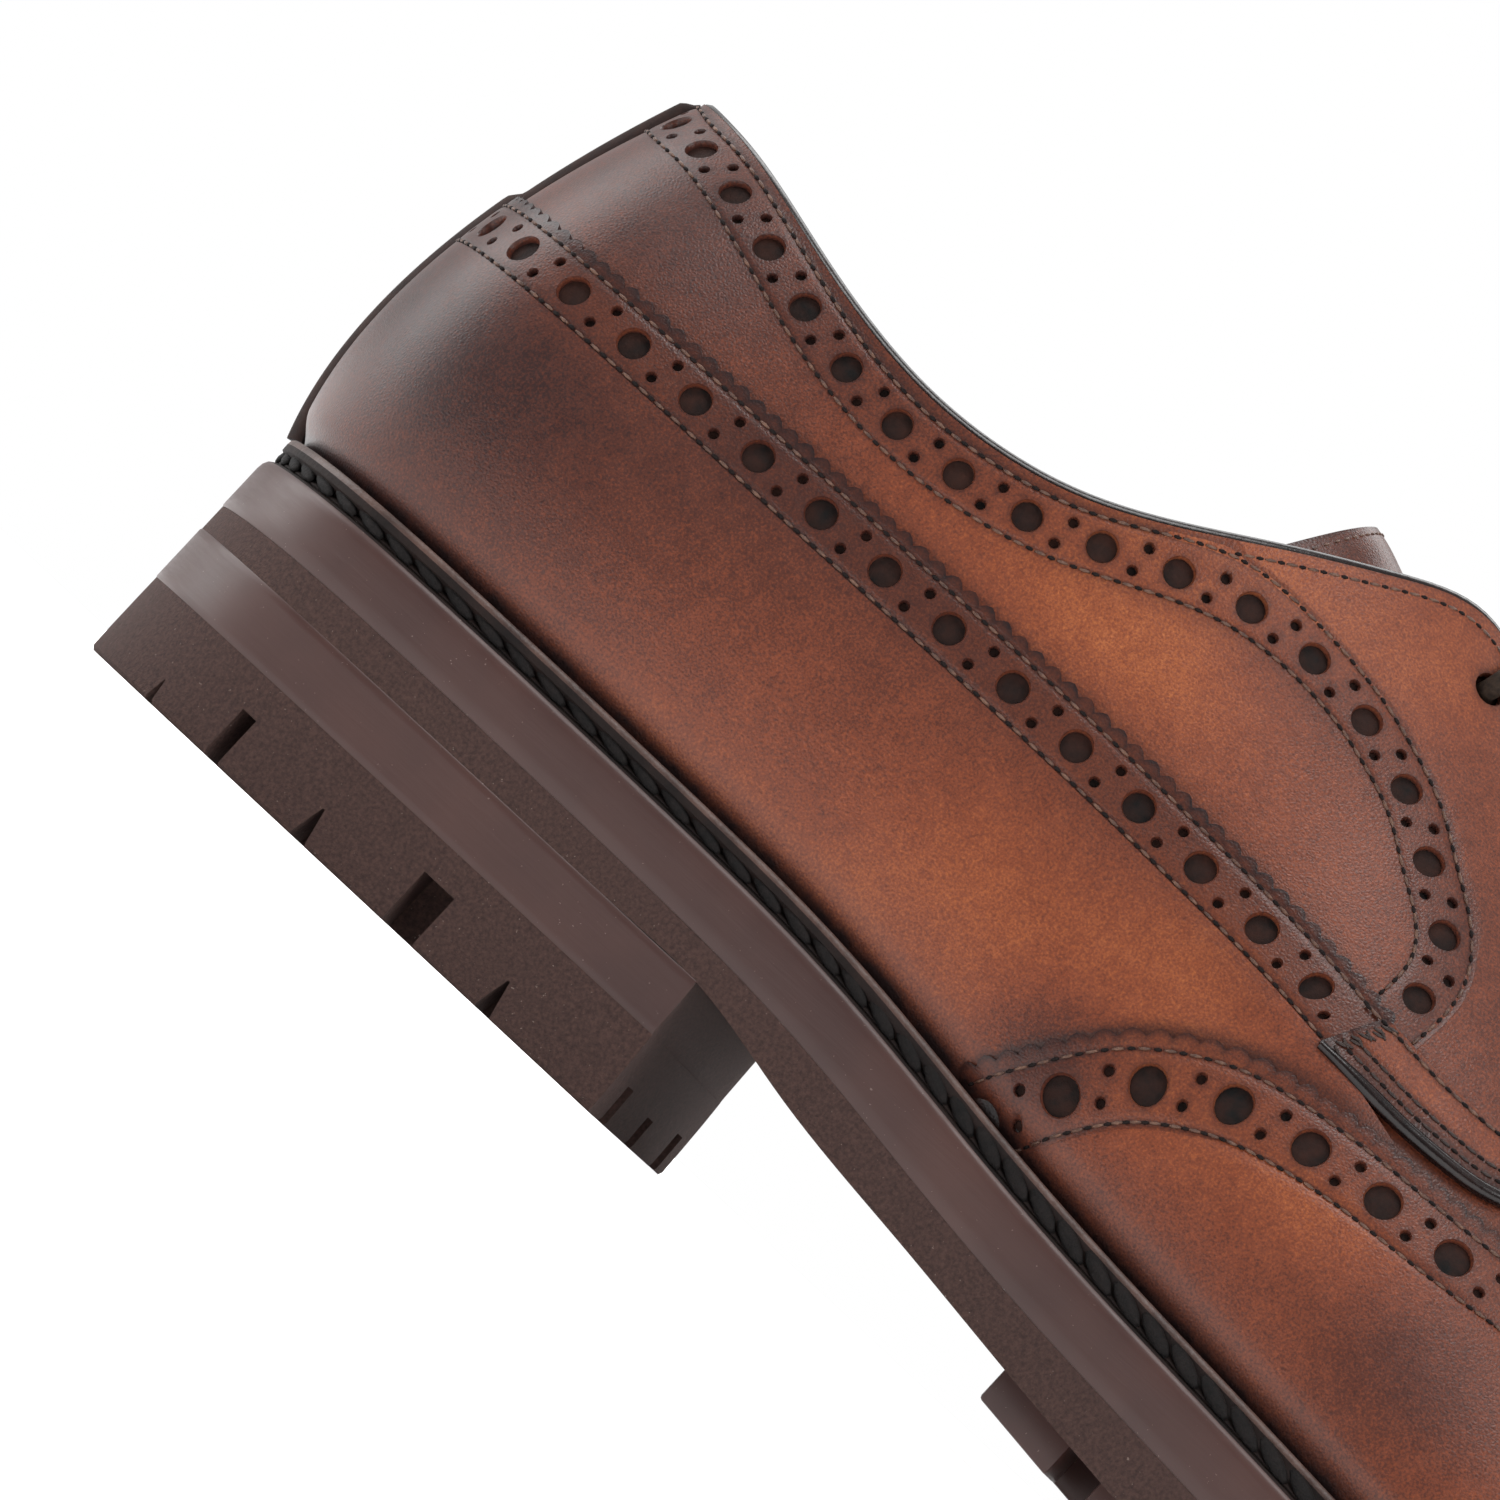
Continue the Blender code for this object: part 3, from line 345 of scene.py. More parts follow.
# %% Curves of the last
def through(knots, values):
    """A smooth curve through given rows, read at any number of places at once."""
    x = np.array(knots, dtype=float)
    y = np.array(values, dtype=float)
    n = len(x)
    h = np.diff(x)
    a = np.eye(n)
    b = np.zeros(n)
    for i in range(1, n - 1):
        a[i, i - 1:i + 2] = h[i - 1], 2.0 * (h[i - 1] + h[i]), h[i]
        b[i] = 6.0 * ((y[i + 1] - y[i]) / h[i] - (y[i] - y[i - 1]) / h[i - 1])
    m = np.linalg.solve(a, b)

    def at(q):
        q = np.asarray(q, dtype=float)
        i = np.clip(np.searchsorted(x, q) - 1, 0, n - 2)
        u = q - x[i]
        w = x[i + 1] - q
        k = h[i]
        return (m[i] * w ** 3 + m[i + 1] * u ** 3) / (6.0 * k) + (y[i] / k - m[i] * k / 6.0) * w \
            + (y[i + 1] / k - m[i + 1] * k / 6.0) * u

    return at


def angle_of(s):
    return np.arccos(np.clip(1.0 - 2.0 * np.asarray(s, dtype=float) / LENGTH, -1.0, 1.0))


def station_of(angle):
    return LENGTH * 0.5 * (1.0 - np.cos(angle))


def edge_curve():
    """Sideways place of the sole's edge for an angle round it."""
    out = angle_of(PLAN["s"])
    knots = np.concatenate([[0.0], out, [math.pi], 2.0 * math.pi - out[::-1]])
    side = np.concatenate([[0.0], -np.array(PLAN["lateral"]), [TIP_Y], np.array(PLAN["medial"])[::-1]])
    knots = np.concatenate([knots[-4:] - 2.0 * math.pi, knots, knots[:4] + 2.0 * math.pi])
    return through(knots, np.concatenate([side[-4:], side, side[:4]]))


edge_y = edge_curve()
margin_at = through(MARGIN["s"], MARGIN["width"])
sole_top = through(SIDE["s"], SIDE["top"])
sole_under = through(SIDE["s"], SIDE["under"])
collar_half = through(angle_of(COLLAR["s"]), COLLAR["half"])
top_outer = through(TOP["s"], TOP["lateral"])
top_inner = through(TOP["s"], TOP["medial"])
top_centre = through(TOP["s"], TOP["centre"])
section = {key: through(SECTION["s"], SECTION[key]) for key in SECTION if key != "s"}


# %% Skin of the last
def wrap(phi):
    return np.mod(phi, 2.0 * math.pi)


def half_angle(phi):
    return np.minimum(wrap(phi), 2.0 * math.pi - wrap(phi))


def station(phi):
    return station_of(half_angle(phi))


def is_outer(phi):
    return wrap(phi) <= math.pi


def plan_point(phi):
    return np.stack([station_of(wrap(phi)), edge_y(wrap(phi))], axis=-1)


def plan_out(phi):
    """Direction that points out of the sole's edge, seen from above."""
    d = plan_point(phi + 0.004) - plan_point(phi - 0.004)
    n = np.stack([d[..., 1], -d[..., 0]], axis=-1)
    return n / np.linalg.norm(n, axis=-1, keepdims=True)


def edge_in(phi, inset):
    return plan_point(phi) - plan_out(phi) * np.asarray(inset, dtype=float)[..., None]


def top_edge(phi):
    s = station(phi)
    half = np.where(s < THROAT_S - 0.01, collar_half(angle_of(np.minimum(s, COLLAR["s"][-1]))), 0.0)
    side = np.where(is_outer(phi), -1.0, 1.0)
    height = np.where(is_outer(phi), top_outer(s), top_inner(s))
    lean = BACK_LEAN * np.maximum(0.0, 1.0 - s / LEAN_ENDS) ** 2
    pull = TOE_PULL * np.maximum(0.0, (s - TOE_FROM) / (LENGTH - TOE_FROM)) ** 2
    return np.stack([s + lean - pull, top_centre(s) + side * np.maximum(half, 0.0), height], axis=-1)


def outer_face(phi, t):
    """Point of the upper's outer face at an angle and a share of the way up."""
    phi, t = np.broadcast_arrays(np.asarray(phi, dtype=float), np.asarray(t, dtype=float))
    s = station(phi)
    foot = edge_in(phi, margin_at(s))
    a = np.concatenate([foot, (sole_top(foot[..., 0]) + GAP)[..., None]], axis=-1)
    d = top_edge(phi)
    flare = np.where(is_outer(phi), section["flare"](s), section["inner_flare"](s))
    b = a + np.concatenate([plan_out(phi) * flare[..., None], section["wall"](s)[..., None]], axis=-1)
    reach = section["crown"](s)[..., None] * (a[..., :2] - d[..., :2])
    slope = np.where(s > TOE_FROM, -0.10 * reach[..., 0], 0.0) - np.maximum(section["drop"](s), 0.0)
    c = d + np.concatenate([reach, slope[..., None]], axis=-1)
    t = t[..., None]
    u = 1.0 - t
    return a * u ** 3 + b * (3.0 * u * u * t) + c * (3.0 * u * t * t) + d * t ** 3


def unit(v):
    return v / np.maximum(np.linalg.norm(v, axis=-1, keepdims=True), 1e-12)


PHI_STEP = 0.003
T_STEP = 0.002


def slopes(phi, t):
    """How the face moves with the angle and with the share."""
    t = np.clip(t, 0.004, 0.985)
    along = (outer_face(phi + PHI_STEP, t) - outer_face(phi - PHI_STEP, t)) / (2.0 * PHI_STEP)
    rise = (outer_face(phi, t + T_STEP) - outer_face(phi, t - T_STEP)) / (2.0 * T_STEP)
    return along, rise


def skin(phi, t, lift=0.0):
    """Point of the outer face moved out by lift. Over the ridge both sides share one direction."""
    phi, t, lift = np.broadcast_arrays(*[np.asarray(v, dtype=float) for v in (phi, t, lift)])
    n = unit(np.cross(*slopes(phi, t)))
    share = np.where(station(phi) >= THROAT_S - 0.01, np.clip((t - 0.93) / 0.07, 0.0, 1.0) * 0.5, 0.0)
    other = unit(np.cross(*slopes(-phi, t)))
    n = unit(n * (1.0 - share)[..., None] + other * share[..., None])
    return outer_face(phi, t) + n * lift[..., None]


def share_at(phi, height):
    """Share of the way up where the face reaches a height."""
    phi, height = np.broadcast_arrays(np.asarray(phi, dtype=float), np.asarray(height, dtype=float))
    low = np.zeros(phi.shape)
    high = np.ones(phi.shape)
    for _ in range(26):
        mid = 0.5 * (low + high)
        under = outer_face(phi, mid)[..., 2] < height
        low = np.where(under, mid, low)
        high = np.where(under, high, mid)
    return 0.5 * (low + high)


def run_along(points):
    """Distance from the first point of a path to each of its points."""
    return np.concatenate([[0.0], np.cumsum(np.linalg.norm(np.diff(points, axis=0), axis=1))])


def share_below(phi, distance):
    """Share of the way up where the face is a distance short of its upper edge."""
    steps = np.linspace(1.0, 0.0, 241)
    return float(np.interp(distance, run_along(outer_face(phi, steps)), steps))


def welt_lip(phi):
    """Share where the welt's lip ends against the upper."""
    return share_at(phi, outer_face(phi, 0.0)[..., 2] + WELT_RISE)


print("last ready, collar height at the back:", round(float(outer_face(0.0, 1.0)[2]), 1), "mm")


# %% [markdown]
# ## Lines on the skin
# Seams are drawn on the last before leather is cut. A line is a run of places on the skin at even
# steps, and a place beside it is found by walking across the skin at right angles to the line.

# %% Lines on the skin
def even_line(phi, t, step=0.5):
    run = run_along(outer_face(phi, t))
    arc = np.linspace(0.0, run[-1], max(int(run[-1] / step), 8))
    return {"arc": arc, "phi": np.interp(arc, run, phi), "t": np.interp(arc, run, t), "length": run[-1]}


def side_line(phi, t, side):
    """A line on one side of the shoe, turned so that its angle grows."""
    order = slice(None) if side > 0.0 else slice(None, None, -1)
    return even_line(phi[order], t[order])


def find_angle(s, z, side):
    """Angle and share of the place at a true station and height on one side."""
    nominal = np.array(s, dtype=float)
    for _ in range(8):
        phi = side * angle_of(np.clip(nominal, 0.0, LENGTH))
        t = share_at(phi, z)
        nominal = np.clip(nominal + 0.9 * (s - outer_face(phi, t)[..., 0]), 0.0, LENGTH)
    return phi, t


def half_line(rows, side, follow_top=False):
    """Places on one side from rows of station and height. A line made of them always runs so that
    its angle grows and up lies on its left."""
    s, z = np.array(rows, dtype=float).T
    q = run_along(np.column_stack([s, z]))
    fine = np.linspace(0.0, q[-1], max(int(q[-1] / 0.5), 12))
    s_fine = through(q, s)(fine)
    z_fine = through(q, z)(fine)
    if side < 0.0 and follow_top:
        z_fine = z_fine + top_inner(s_fine) - top_outer(s_fine)
    return find_angle(s_fine, z_fine, side)


def round_line(rows, follow_top=False):
    """A line from the inner side round the heel to the outer side."""
    inside = half_line(rows, -1.0, follow_top)
    outside = half_line(rows, 1.0, follow_top)
    phi = np.concatenate([inside[0][::-1], outside[0]])
    t = np.concatenate([inside[1][::-1], outside[1]])
    return even_line(phi, t)


def across(line, a, b):
    """Angle and share of the place b to the left of the line at run a."""
    a = np.asarray(a, dtype=float)
    phi = np.interp(a, line["arc"], line["phi"])
    t = np.interp(a, line["arc"], line["t"])
    d_phi = np.interp(a, line["arc"], np.gradient(line["phi"], line["arc"]))
    d_t = np.interp(a, line["arc"], np.gradient(line["t"], line["arc"]))
    steps = 6
    for _ in range(steps):
        along, rise = slopes(phi, t)
        run = along * d_phi[..., None] + rise * d_t[..., None]
        left = unit(np.cross(np.cross(along, rise), run)) * (np.asarray(b) / steps)[..., None]
        aa = (along * along).sum(-1)
        rr = (rise * rise).sum(-1)
        ar = (along * rise).sum(-1)
        la = (left * along).sum(-1)
        lr = (left * rise).sum(-1)
        det = np.maximum(aa * rr - ar * ar, 1e-9)
        phi = phi + (la * rr - lr * ar) / det
        t = np.clip(t + (lr * aa - la * ar) / det, 0.0, 1.0)
    return phi, t


# %% Seams of this shoe
COLLAR_ROWS = [(8.2, 88.3), (9.6, 87.9), (16, 87), (24, 85.2), (35, 81.9), (46, 79.1), (57, 78), (67, 78.9),
               (77, 81.5), (87, 86), (95, 89), (101.5, 90), (107, 90), (114, 89), (119, 87.5), (125.5, 84.7),
               (131, 81), (137, 76.6), (139.7, 72.6), (140.3, 69), (140.1, 64.5)]
STRIP_ROWS = [(-0.8, 64.8), (10, 64.8), (50, 64.8), (100, 64.6), (112, 64.1), (124, 63.3), (132, 62.4),
              (140, 61.2)]
FLAP_ROWS = [(136.6, 61.6), (145, 61.3), (155, 61.3), (159.5, 61.9), (163.2, 63.9), (166, 67.5), (168, 72),
             (169.6, 77)]
WING_ROWS = {"share": (0, 0.11, 0.205, 0.276, 0.314, 0.35, 0.384, 0.415, 0.45, 0.51, 0.59, 0.68, 0.78, 0.88,
                       0.95, 1),
             "s": (109, 114, 119.5, 126.5, 132, 140, 150, 160, 169, 182, 197, 209, 214, 210, 203, 197)}
SIDE_HEIGHT = 60.0
FLAP_TOP = (170.2, 0.975)


def wing_line(side):
    """Edge of the wing cap from the welt to the ridge, by share of the way up."""
    share = np.array(WING_ROWS["share"])
    s = np.array(WING_ROWS["s"], dtype=float)
    q = run_along(np.column_stack([s, SIDE_HEIGHT * share]))
    fine = np.linspace(0.0, q[-1], 300)
    phi = side * angle_of(through(q, s)(fine))
    low = welt_lip(phi)
    t = low + (1.0 - low) * np.clip(through(q, share)(fine), 0.0, 1.0)
    return side_line(phi, t, side)


def flap_line(side):
    """Edge of the flap: along its foot by the rows, then up its front to the throat."""
    phi, t = half_line(FLAP_ROWS, side)
    rise = np.linspace(0.0, 1.0, 24)[1:]
    phi = np.concatenate([phi, phi[-1] + (side * angle_of(FLAP_TOP[0]) - phi[-1]) * rise])
    t = np.concatenate([t, t[-1] + (FLAP_TOP[1] - t[-1]) * rise])
    return side_line(phi, t, side)


def ease(low, high, x):
    u = np.clip((np.asarray(x, dtype=float) - low) / (high - low), 0.0, 1.0)
    return u * u * (3.0 - 2.0 * u)


WING_HOLES = -5.4
WING_SEAMS = (-9.0, -1.9)


def paced_by(line, b):
    """The line with its run measured along a row beside it, so that holes on the row come out even."""
    p = outer_face(*across(line, line["arc"], np.full(len(line["arc"]), float(b))))
    steps = np.maximum(np.linalg.norm(np.diff(p, axis=0), axis=1), 0.02)
    run = np.concatenate([[0.0], np.cumsum(steps)])
    return {**line, "arc": run, "length": run[-1]}


def wing_shape(line, a, b):
    """Widens the wing band below its upper row towards its rear end."""
    s = station(np.interp(a, line["arc"], line["phi"]))
    return b + 0.16 * np.minimum(b - WING_SEAMS[1], 0.0) * (1.0 - ease(126.0, 152.0, s))


collar_line = round_line(COLLAR_ROWS, True)
strip_line = round_line(STRIP_ROWS)
SIDES = {"lateral": 1.0, "medial": -1.0}
wing_lines = {name: paced_by(wing_line(side), WING_HOLES) for name, side in SIDES.items()}
flap_lines = {name: flap_line(side) for name, side in SIDES.items()}
print("collar band", round(collar_line["length"]), "mm, counter strip", round(strip_line["length"]),
      "mm, wing edge", round(wing_lines["lateral"]["length"]), "mm")


# %% [markdown]
# ## Patina
# The colour of the real shoe was rubbed in by hand, so it is placed one by one here: each row is a
# soft patch at a station and a height, with its reach and how much warmer or darker it is.

# %% Patina
# Two rows lighten the leather as a painted sheen: (72, 36) on the low counter and (24, 64.8) on the strip at
# the heel.
PATCHES = [
    (14, 50, 26, 20, -0.28), (38, 58, 34, 14, -0.14), (26, 76, 24, 8, -0.16), (8, 84, 16, 10, -0.2),
    (62, 48, 22, 12, 0.03), (102, 46, 18, 11, 0.24), (120, 55, 12, 8, 0.16), (92, 77, 24, 8, 0.24),
    (58, 73, 16, 6, 0.10), (119, 75, 12, 9, -0.06), (100, 94, 16, 6, 0.15), (116, 99, 12, 8, 0.12),
    (80, 88, 14, 4, 0.14), (136, 42, 16, 8, 0.14), (150, 46, 16, 6, 0.10), (150, 80, 16, 10, -0.08),
    (168, 38, 11, 9, -0.26), (24, 64.8, 18, 5, 0.24), (115, 38, 7, 6, -0.3),
    (150, 44, 9, 4, 0.1), (72, 36, 34, 4, 0.14), (190, 60, 26, 10, 0.12), (225, 42, 22, 12, 0.08),
    (290, 40, 26, 16, -0.22), (250, 56, 30, 6, 0.06)]
BASE_WARM = 0.42


def warmth_at(points):
    """Warmth of each point, from the listed patches. The inner side uses the same rows."""
    value = np.full(len(points), BASE_WARM)
    for s, z, reach_s, reach_z, amount in PATCHES:
        far = ((points[:, 0] - s) / reach_s) ** 2 + ((points[:, 2] - z) / reach_z) ** 2
        value += amount * np.exp(-far)
    return value


# %% [markdown]
# ## Cutting and draping leather
# Each panel starts as a flat grid, is extruded to the leather's thickness, and is then draped: its
# x, y and z become a place along, up and off the skin. Flat holes and pinked edges can so be cut
# with plain operators before the leather goes round the last.

# %% Punches
def punches(spots):
    """One mesh with a spun punch at each spot: run, side place and radius, in millimetres."""
    bm = bmesh.new()
    for a, b, r in spots:
        profile = [(0.0, -1.0), (r, -1.0), (r, 0.72), (r + 0.16, 1.01), (r + 0.16, 2.0), (0.0, 2.0)]
        verts = [bm.verts.new((a + x, b, z)) for x, z in profile]
        edges = [bm.edges.new(pair) for pair in zip(verts, verts[1:])]
        bmesh.ops.spin(bm, geom=verts + edges, cent=(a, b, 0.0), axis=(0.0, 0.0, 1.0), angle=2.0 * math.pi,
                       steps=20 if r > 1.0 else 10, use_merge=True)
    bmesh.ops.remove_doubles(bm, verts=bm.verts[:], dist=0.0005)
    bmesh.ops.recalc_face_normals(bm, faces=bm.faces[:])
    return bm


def as_object(bm, name):
    mesh = bpy.data.meshes.new(name)
    bm.to_mesh(mesh)
    bm.free()
    ob = bpy.data.objects.new(name, mesh)
    bpy.context.collection.objects.link(ob)
    return ob


def pour(bm, whole):
    """Moves all of one bmesh into another."""
    part = bpy.data.meshes.new("part")
    bm.to_mesh(part)
    bm.free()
    whole.from_mesh(part)
    bpy.data.meshes.remove(part)


def baked(*obs):
    """The first object with its modifiers, as a bmesh. All the objects are removed."""
    bpy.context.view_layer.update()
    graph = bpy.context.evaluated_depsgraph_get()
    mesh = bpy.data.meshes.new_from_object(obs[0].evaluated_get(graph))
    bm = bmesh.new()
    bm.from_mesh(mesh)
    bpy.data.meshes.remove(mesh)
    for ob in obs:
        bpy.data.objects.remove(ob, do_unlink=True)
    return bm


def cut(target, cutter):
    """Target with cutter taken out, as a bmesh."""
    mod = target.modifiers.new("cut", "BOOLEAN")
    mod.operation = "DIFFERENCE"
    mod.solver = "EXACT"
    mod.use_self = True
    mod.object = cutter
    return baked(target, cutter)


# %% Sheets
WELD = 0.000002


def flat_sheet(columns, rows):
    """A flat sheet one unit long, wide and thick: z = 0 is the flesh side, z = 1 the grain side."""
    bm = bmesh.new()
    bmesh.ops.create_grid(bm, x_segments=columns, y_segments=rows, size=0.5)
    bmesh.ops.translate(bm, verts=bm.verts[:], vec=(0.5, 0.5, 0.0))
    grown = bmesh.ops.extrude_face_region(bm, geom=bm.faces[:])
    top = [g for g in grown["geom"] if isinstance(g, bmesh.types.BMVert)]
    bmesh.ops.translate(bm, verts=top, vec=(0.0, 0.0, 1.0))
    return bm


def flat_places(bm):
    return np.array([v.co[:] for v in bm.verts])


def settle(bm, points, warm=None, burnish_and_shade=None):
    """Moves every vertex to its place, given in millimetres, and keeps its patina, with its painted shade and
    highlights.
    """
    layers = []
    for label, values in (("warm", warm), ("burnish_and_shade", burnish_and_shade)):
        if values is not None:
            layers.append((bm.verts.layers.float.new(label), values))
    for i, (v, p) in enumerate(zip(bm.verts, place(points))):
        v.co = p
        for layer, values in layers:
            v[layer] = values[i]


def finish_piece(bm, name, finishes, stands_for=(), sharp=40.0):
    """Closes a bmesh into a piece that rides on the shoe."""
    bmesh.ops.remove_doubles(bm, verts=bm.verts[:], dist=WELD)
    bmesh.ops.recalc_face_normals(bm, faces=bm.faces[:])
    piece = as_object(bm, name)
    mesh = piece.data
    for finish in finishes:
        mesh.materials.append(finish)
    mesh.shade_smooth()
    mesh.set_sharp_from_angle(angle=math.radians(sharp))
    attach(piece, "root")
    if stands_for:
        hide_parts(*stands_for)
    print(name, len(mesh.polygons), "faces")


def open_rim(bm, on_rim):
    """Takes out the rim of a flat sheet where it meets another edge, such as along the ridge."""
    rim = [f for f in bm.faces if all(on_rim(v) for v in f.verts)]
    bmesh.ops.delete(bm, geom=rim, context="FACES")


def draped(phi, t, lift, depth=0.0):
    """Point of a panel that stands off the last by lift and turns in towards the crease at the welt."""
    above = outer_face(phi, t)[..., 2] - outer_face(phi, 0.0)[..., 2] - WELT_RISE
    return skin(phi, t, lift - (lift + 0.2) * (1.0 - ease(-1.0, 3.5, above)) - depth)


def field(name, columns, rows, spread, lift, thick, stands_for=(), burnish_and_shade=None, ridge=False,
          punch=None):
    """A plain panel: spread gives the angle and share for each flat place, lift its height."""
    bm = flat_sheet(columns, rows)
    if ridge:
        open_rim(bm, lambda v: v.co.y > 0.9999)
    if punch:
        bm = cut(as_object(bm, name + "_flat"), punch)
        bmesh.ops.triangulate(bm, faces=[f for f in bm.faces if len(f.verts) > 4])
    flat = flat_places(bm)
    phi, t = spread(flat[:, 0], flat[:, 1])
    base = outer_face(phi, t)
    off = lift(base[:, 0], base[:, 2], flat[:, 0], flat[:, 1])
    dark = burnish_and_shade(base, flat) if burnish_and_shade else np.zeros(len(flat))
    settle(bm, draped(phi, t, off, thick * (1.0 - flat[:, 2])), warmth_at(base), np.clip(dark, 0.0, 1.0))
    finish_piece(bm, name, [CALF], stands_for)


# %% [markdown]
# ## Lining shell
# Behind the outer leather lies the lining, with a near-black backing between them that shows through
# the brogue holes as painted shade. It is one sheet round the whole last, closed along the ridge in front.

# %% Lining shell
RIDGE_SPAN = (0.27, 0.73)
BACKING_DEPTH = 0.9


def lining_shell():
    bm = flat_sheet(300, 40)
    open_rim(bm, lambda v: v.co.y > 0.9999 and RIDGE_SPAN[0] < v.co.x < RIDGE_SPAN[1])
    for end in (0.0, 1.0):
        open_rim(bm, lambda v: abs(v.co.x - end) < 0.0001)
    flat = flat_places(bm)
    phi = flat[:, 0] * 2.0 * math.pi
    points = skin(phi, flat[:, 1], np.where(flat[:, 2] > 0.5, -BACKING_DEPTH, -WALL))
    for f in bm.faces:
        f.material_index = 1 if all(v.co.z > 0.5 for v in f.verts) else 0
    settle(bm, points)
    finish_piece(bm, "lining_shell", [LINING, UNDERLAY_SHADE], ["upper"])


lining_shell()


# %% [markdown]
# ## Plain fields
# Between the brogued bands lie plain fields of leather: the quarter, the counter, the facing, the
# vamp and the toe. Their edges dip under the bands, and they darken towards the welt with a painted
# shade of its crease.

# %% Quarter and counter fields
def edge_share(line, b):
    """Share as a function of the angle, along a line at a distance from it."""
    a = line["arc"]
    phi, t = across(line, a, np.full(len(a), float(b)))
    keep = np.maximum.accumulate(phi)
    keep = keep + np.arange(len(keep)) * 1e-9
    return lambda q: np.interp(q, keep, t)


collar_low = edge_share(collar_line, -3.0)
strip_top = edge_share(strip_line, 3.5)
strip_low = edge_share(strip_line, -3.6)
FRONT_PHI = float(angle_of(141.0))
COUNTER_PHI = float(angle_of(158.0))
COUNTER_PLY = 1.1


def quarter_ply(s):
    """How far the quarter stands off the last: it rises over the vamp towards its flap."""
    return 0.3 + 0.9 * ease(108.0, 140.0, s)


def strip_ply(s):
    return quarter_ply(s) + 0.85


WING_EDGE = {"s": (105, 109, 114, 119.5, 126.5, 132, 140, 150, 169, 185),
             "z": (20, 29, 37, 44.5, 50, 52.5, 54.3, 55.2, 55.6, 56)}
WING_TAIL = 106.0
wing_height = through(WING_EDGE["s"], WING_EDGE["z"])


def over_wing(s, z):
    """Height above the wing's edge, below zero where the wing lies over the counter."""
    return z - wing_height(np.clip(s, WING_EDGE["s"][0], WING_EDGE["s"][-1]))


def counter_lift(s, z, u, v):
    """The counter rises to the strip at its top, and runs out low under the flap and the wing."""
    lift = COUNTER_PLY + (strip_ply(s) - 0.05 - COUNTER_PLY) * ease(0.8, 1.0, v)
    lift = lift + (0.3 - lift) * ease(140.0, 156.0, s)
    return lift - (lift + 0.4) * (1.0 - ease(-3.2, -1.4, over_wing(s, z))) * (s > WING_TAIL)


def quarter_spread(u, v):
    phi = (2.0 * u - 1.0) * FRONT_PHI
    low = strip_top(phi)
    high = np.maximum(collar_low(phi), low + 0.002)
    return phi, low + (high - low) * v


TUCK = 1.5


def under_welt(phi):
    """Share a little below the welt's lip, where the lowest panels end out of sight."""
    return share_at(phi, outer_face(phi, 0.0)[..., 2] + WELT_RISE - TUCK)


def counter_spread(u, v):
    phi = (2.0 * u - 1.0) * COUNTER_PHI
    low = under_welt(phi)
    high = strip_low(phi)
    return phi, low + (high - low) * v


def edge_burnish_and_shade(v, scale):
    return 0.55 * (np.exp(-v / scale) + np.exp(-(1.0 - v) / scale))


# The quarter darkens towards both edges, where it slides under the strip and the collar band: partly burnish,
# partly a painted shadow beside the bands' edges.
field("quarter", 300, 22, quarter_spread, lambda s, z, u, v: quarter_ply(s), 0.8,
      burnish_and_shade=lambda p, flat: edge_burnish_and_shade(flat[:, 1], 0.07))


def wing_shadow(p):
    """Painted shadow just beyond the wing's edge, and painted shade all the way under it."""
    over = over_wing(p[:, 0], p[:, 2])
    return (1.0 - 0.3 * ease(-3.5, -1.5, over) - 0.7 * ease(-0.2, 2.4, over)) * (p[:, 0] > WING_TAIL)


def welt_crease_shade(p):
    """Painted shade in the crease at the welt, fading out a little above it."""
    above = p[:, 2] - sole_top(p[:, 0]) - GAP - WELT_RISE
    clear = ease(-0.4, 1.4, above)
    return 1.0 - clear + 0.4 * np.exp(-np.maximum(above, 0.0) / 2.2) * clear


def counter_shade(p, flat):
    """Painted shade: in the crease at the welt, under the strip's edge, and beyond and under the wing where
    it lies over the counter.
    """
    edge = welt_crease_shade(p) + 0.25 * np.exp(-(1.0 - flat[:, 1]) / 0.08) * (p[:, 0] < 130.0)
    return np.maximum(edge, wing_shadow(p))


field("counter", 320, 40, counter_spread, counter_lift, 0.9, ["foxing"], counter_shade)

# %% Facing fields
FACING_LOW = [(85, 87.6), (89, 90.2), (94, 91.8), (101, 92.4), (114, 91), (120, 89.3), (128, 86.1),
              (134, 82.1), (139.5, 78), (141.8, 73.5), (142.6, 68), (143.4, 64), (150, 62.6), (157, 62.6),
              (161, 63.8), (164.3, 67.3), (167, 72.5), (168.8, 78)]
EYELETS = [120.7, 130.5, 140.35, 150.2, 160.0]
EYELET_INSET = 6.6
EYELET_R = 1.85
FACING_FROM = float(angle_of(FACING_LOW[0][0]))
FACING_TO = float(angle_of(171.0))


def facing_spread(side):
    phi_low, t_low = half_line(FACING_LOW, side, True)
    order = np.argsort(np.abs(phi_low))
    grid_phi = np.abs(phi_low)[order]
    grid_t = t_low[order]

    def spread(u, v):
        q = FACING_FROM + (FACING_TO - FACING_FROM) * u
        low = np.interp(q, grid_phi, grid_t)
        return side * q, low + (1.0 - low) * v

    return spread


def flap_ply(s):
    return quarter_ply(s) + 0.25 * ease(144.0, 157.0, s)


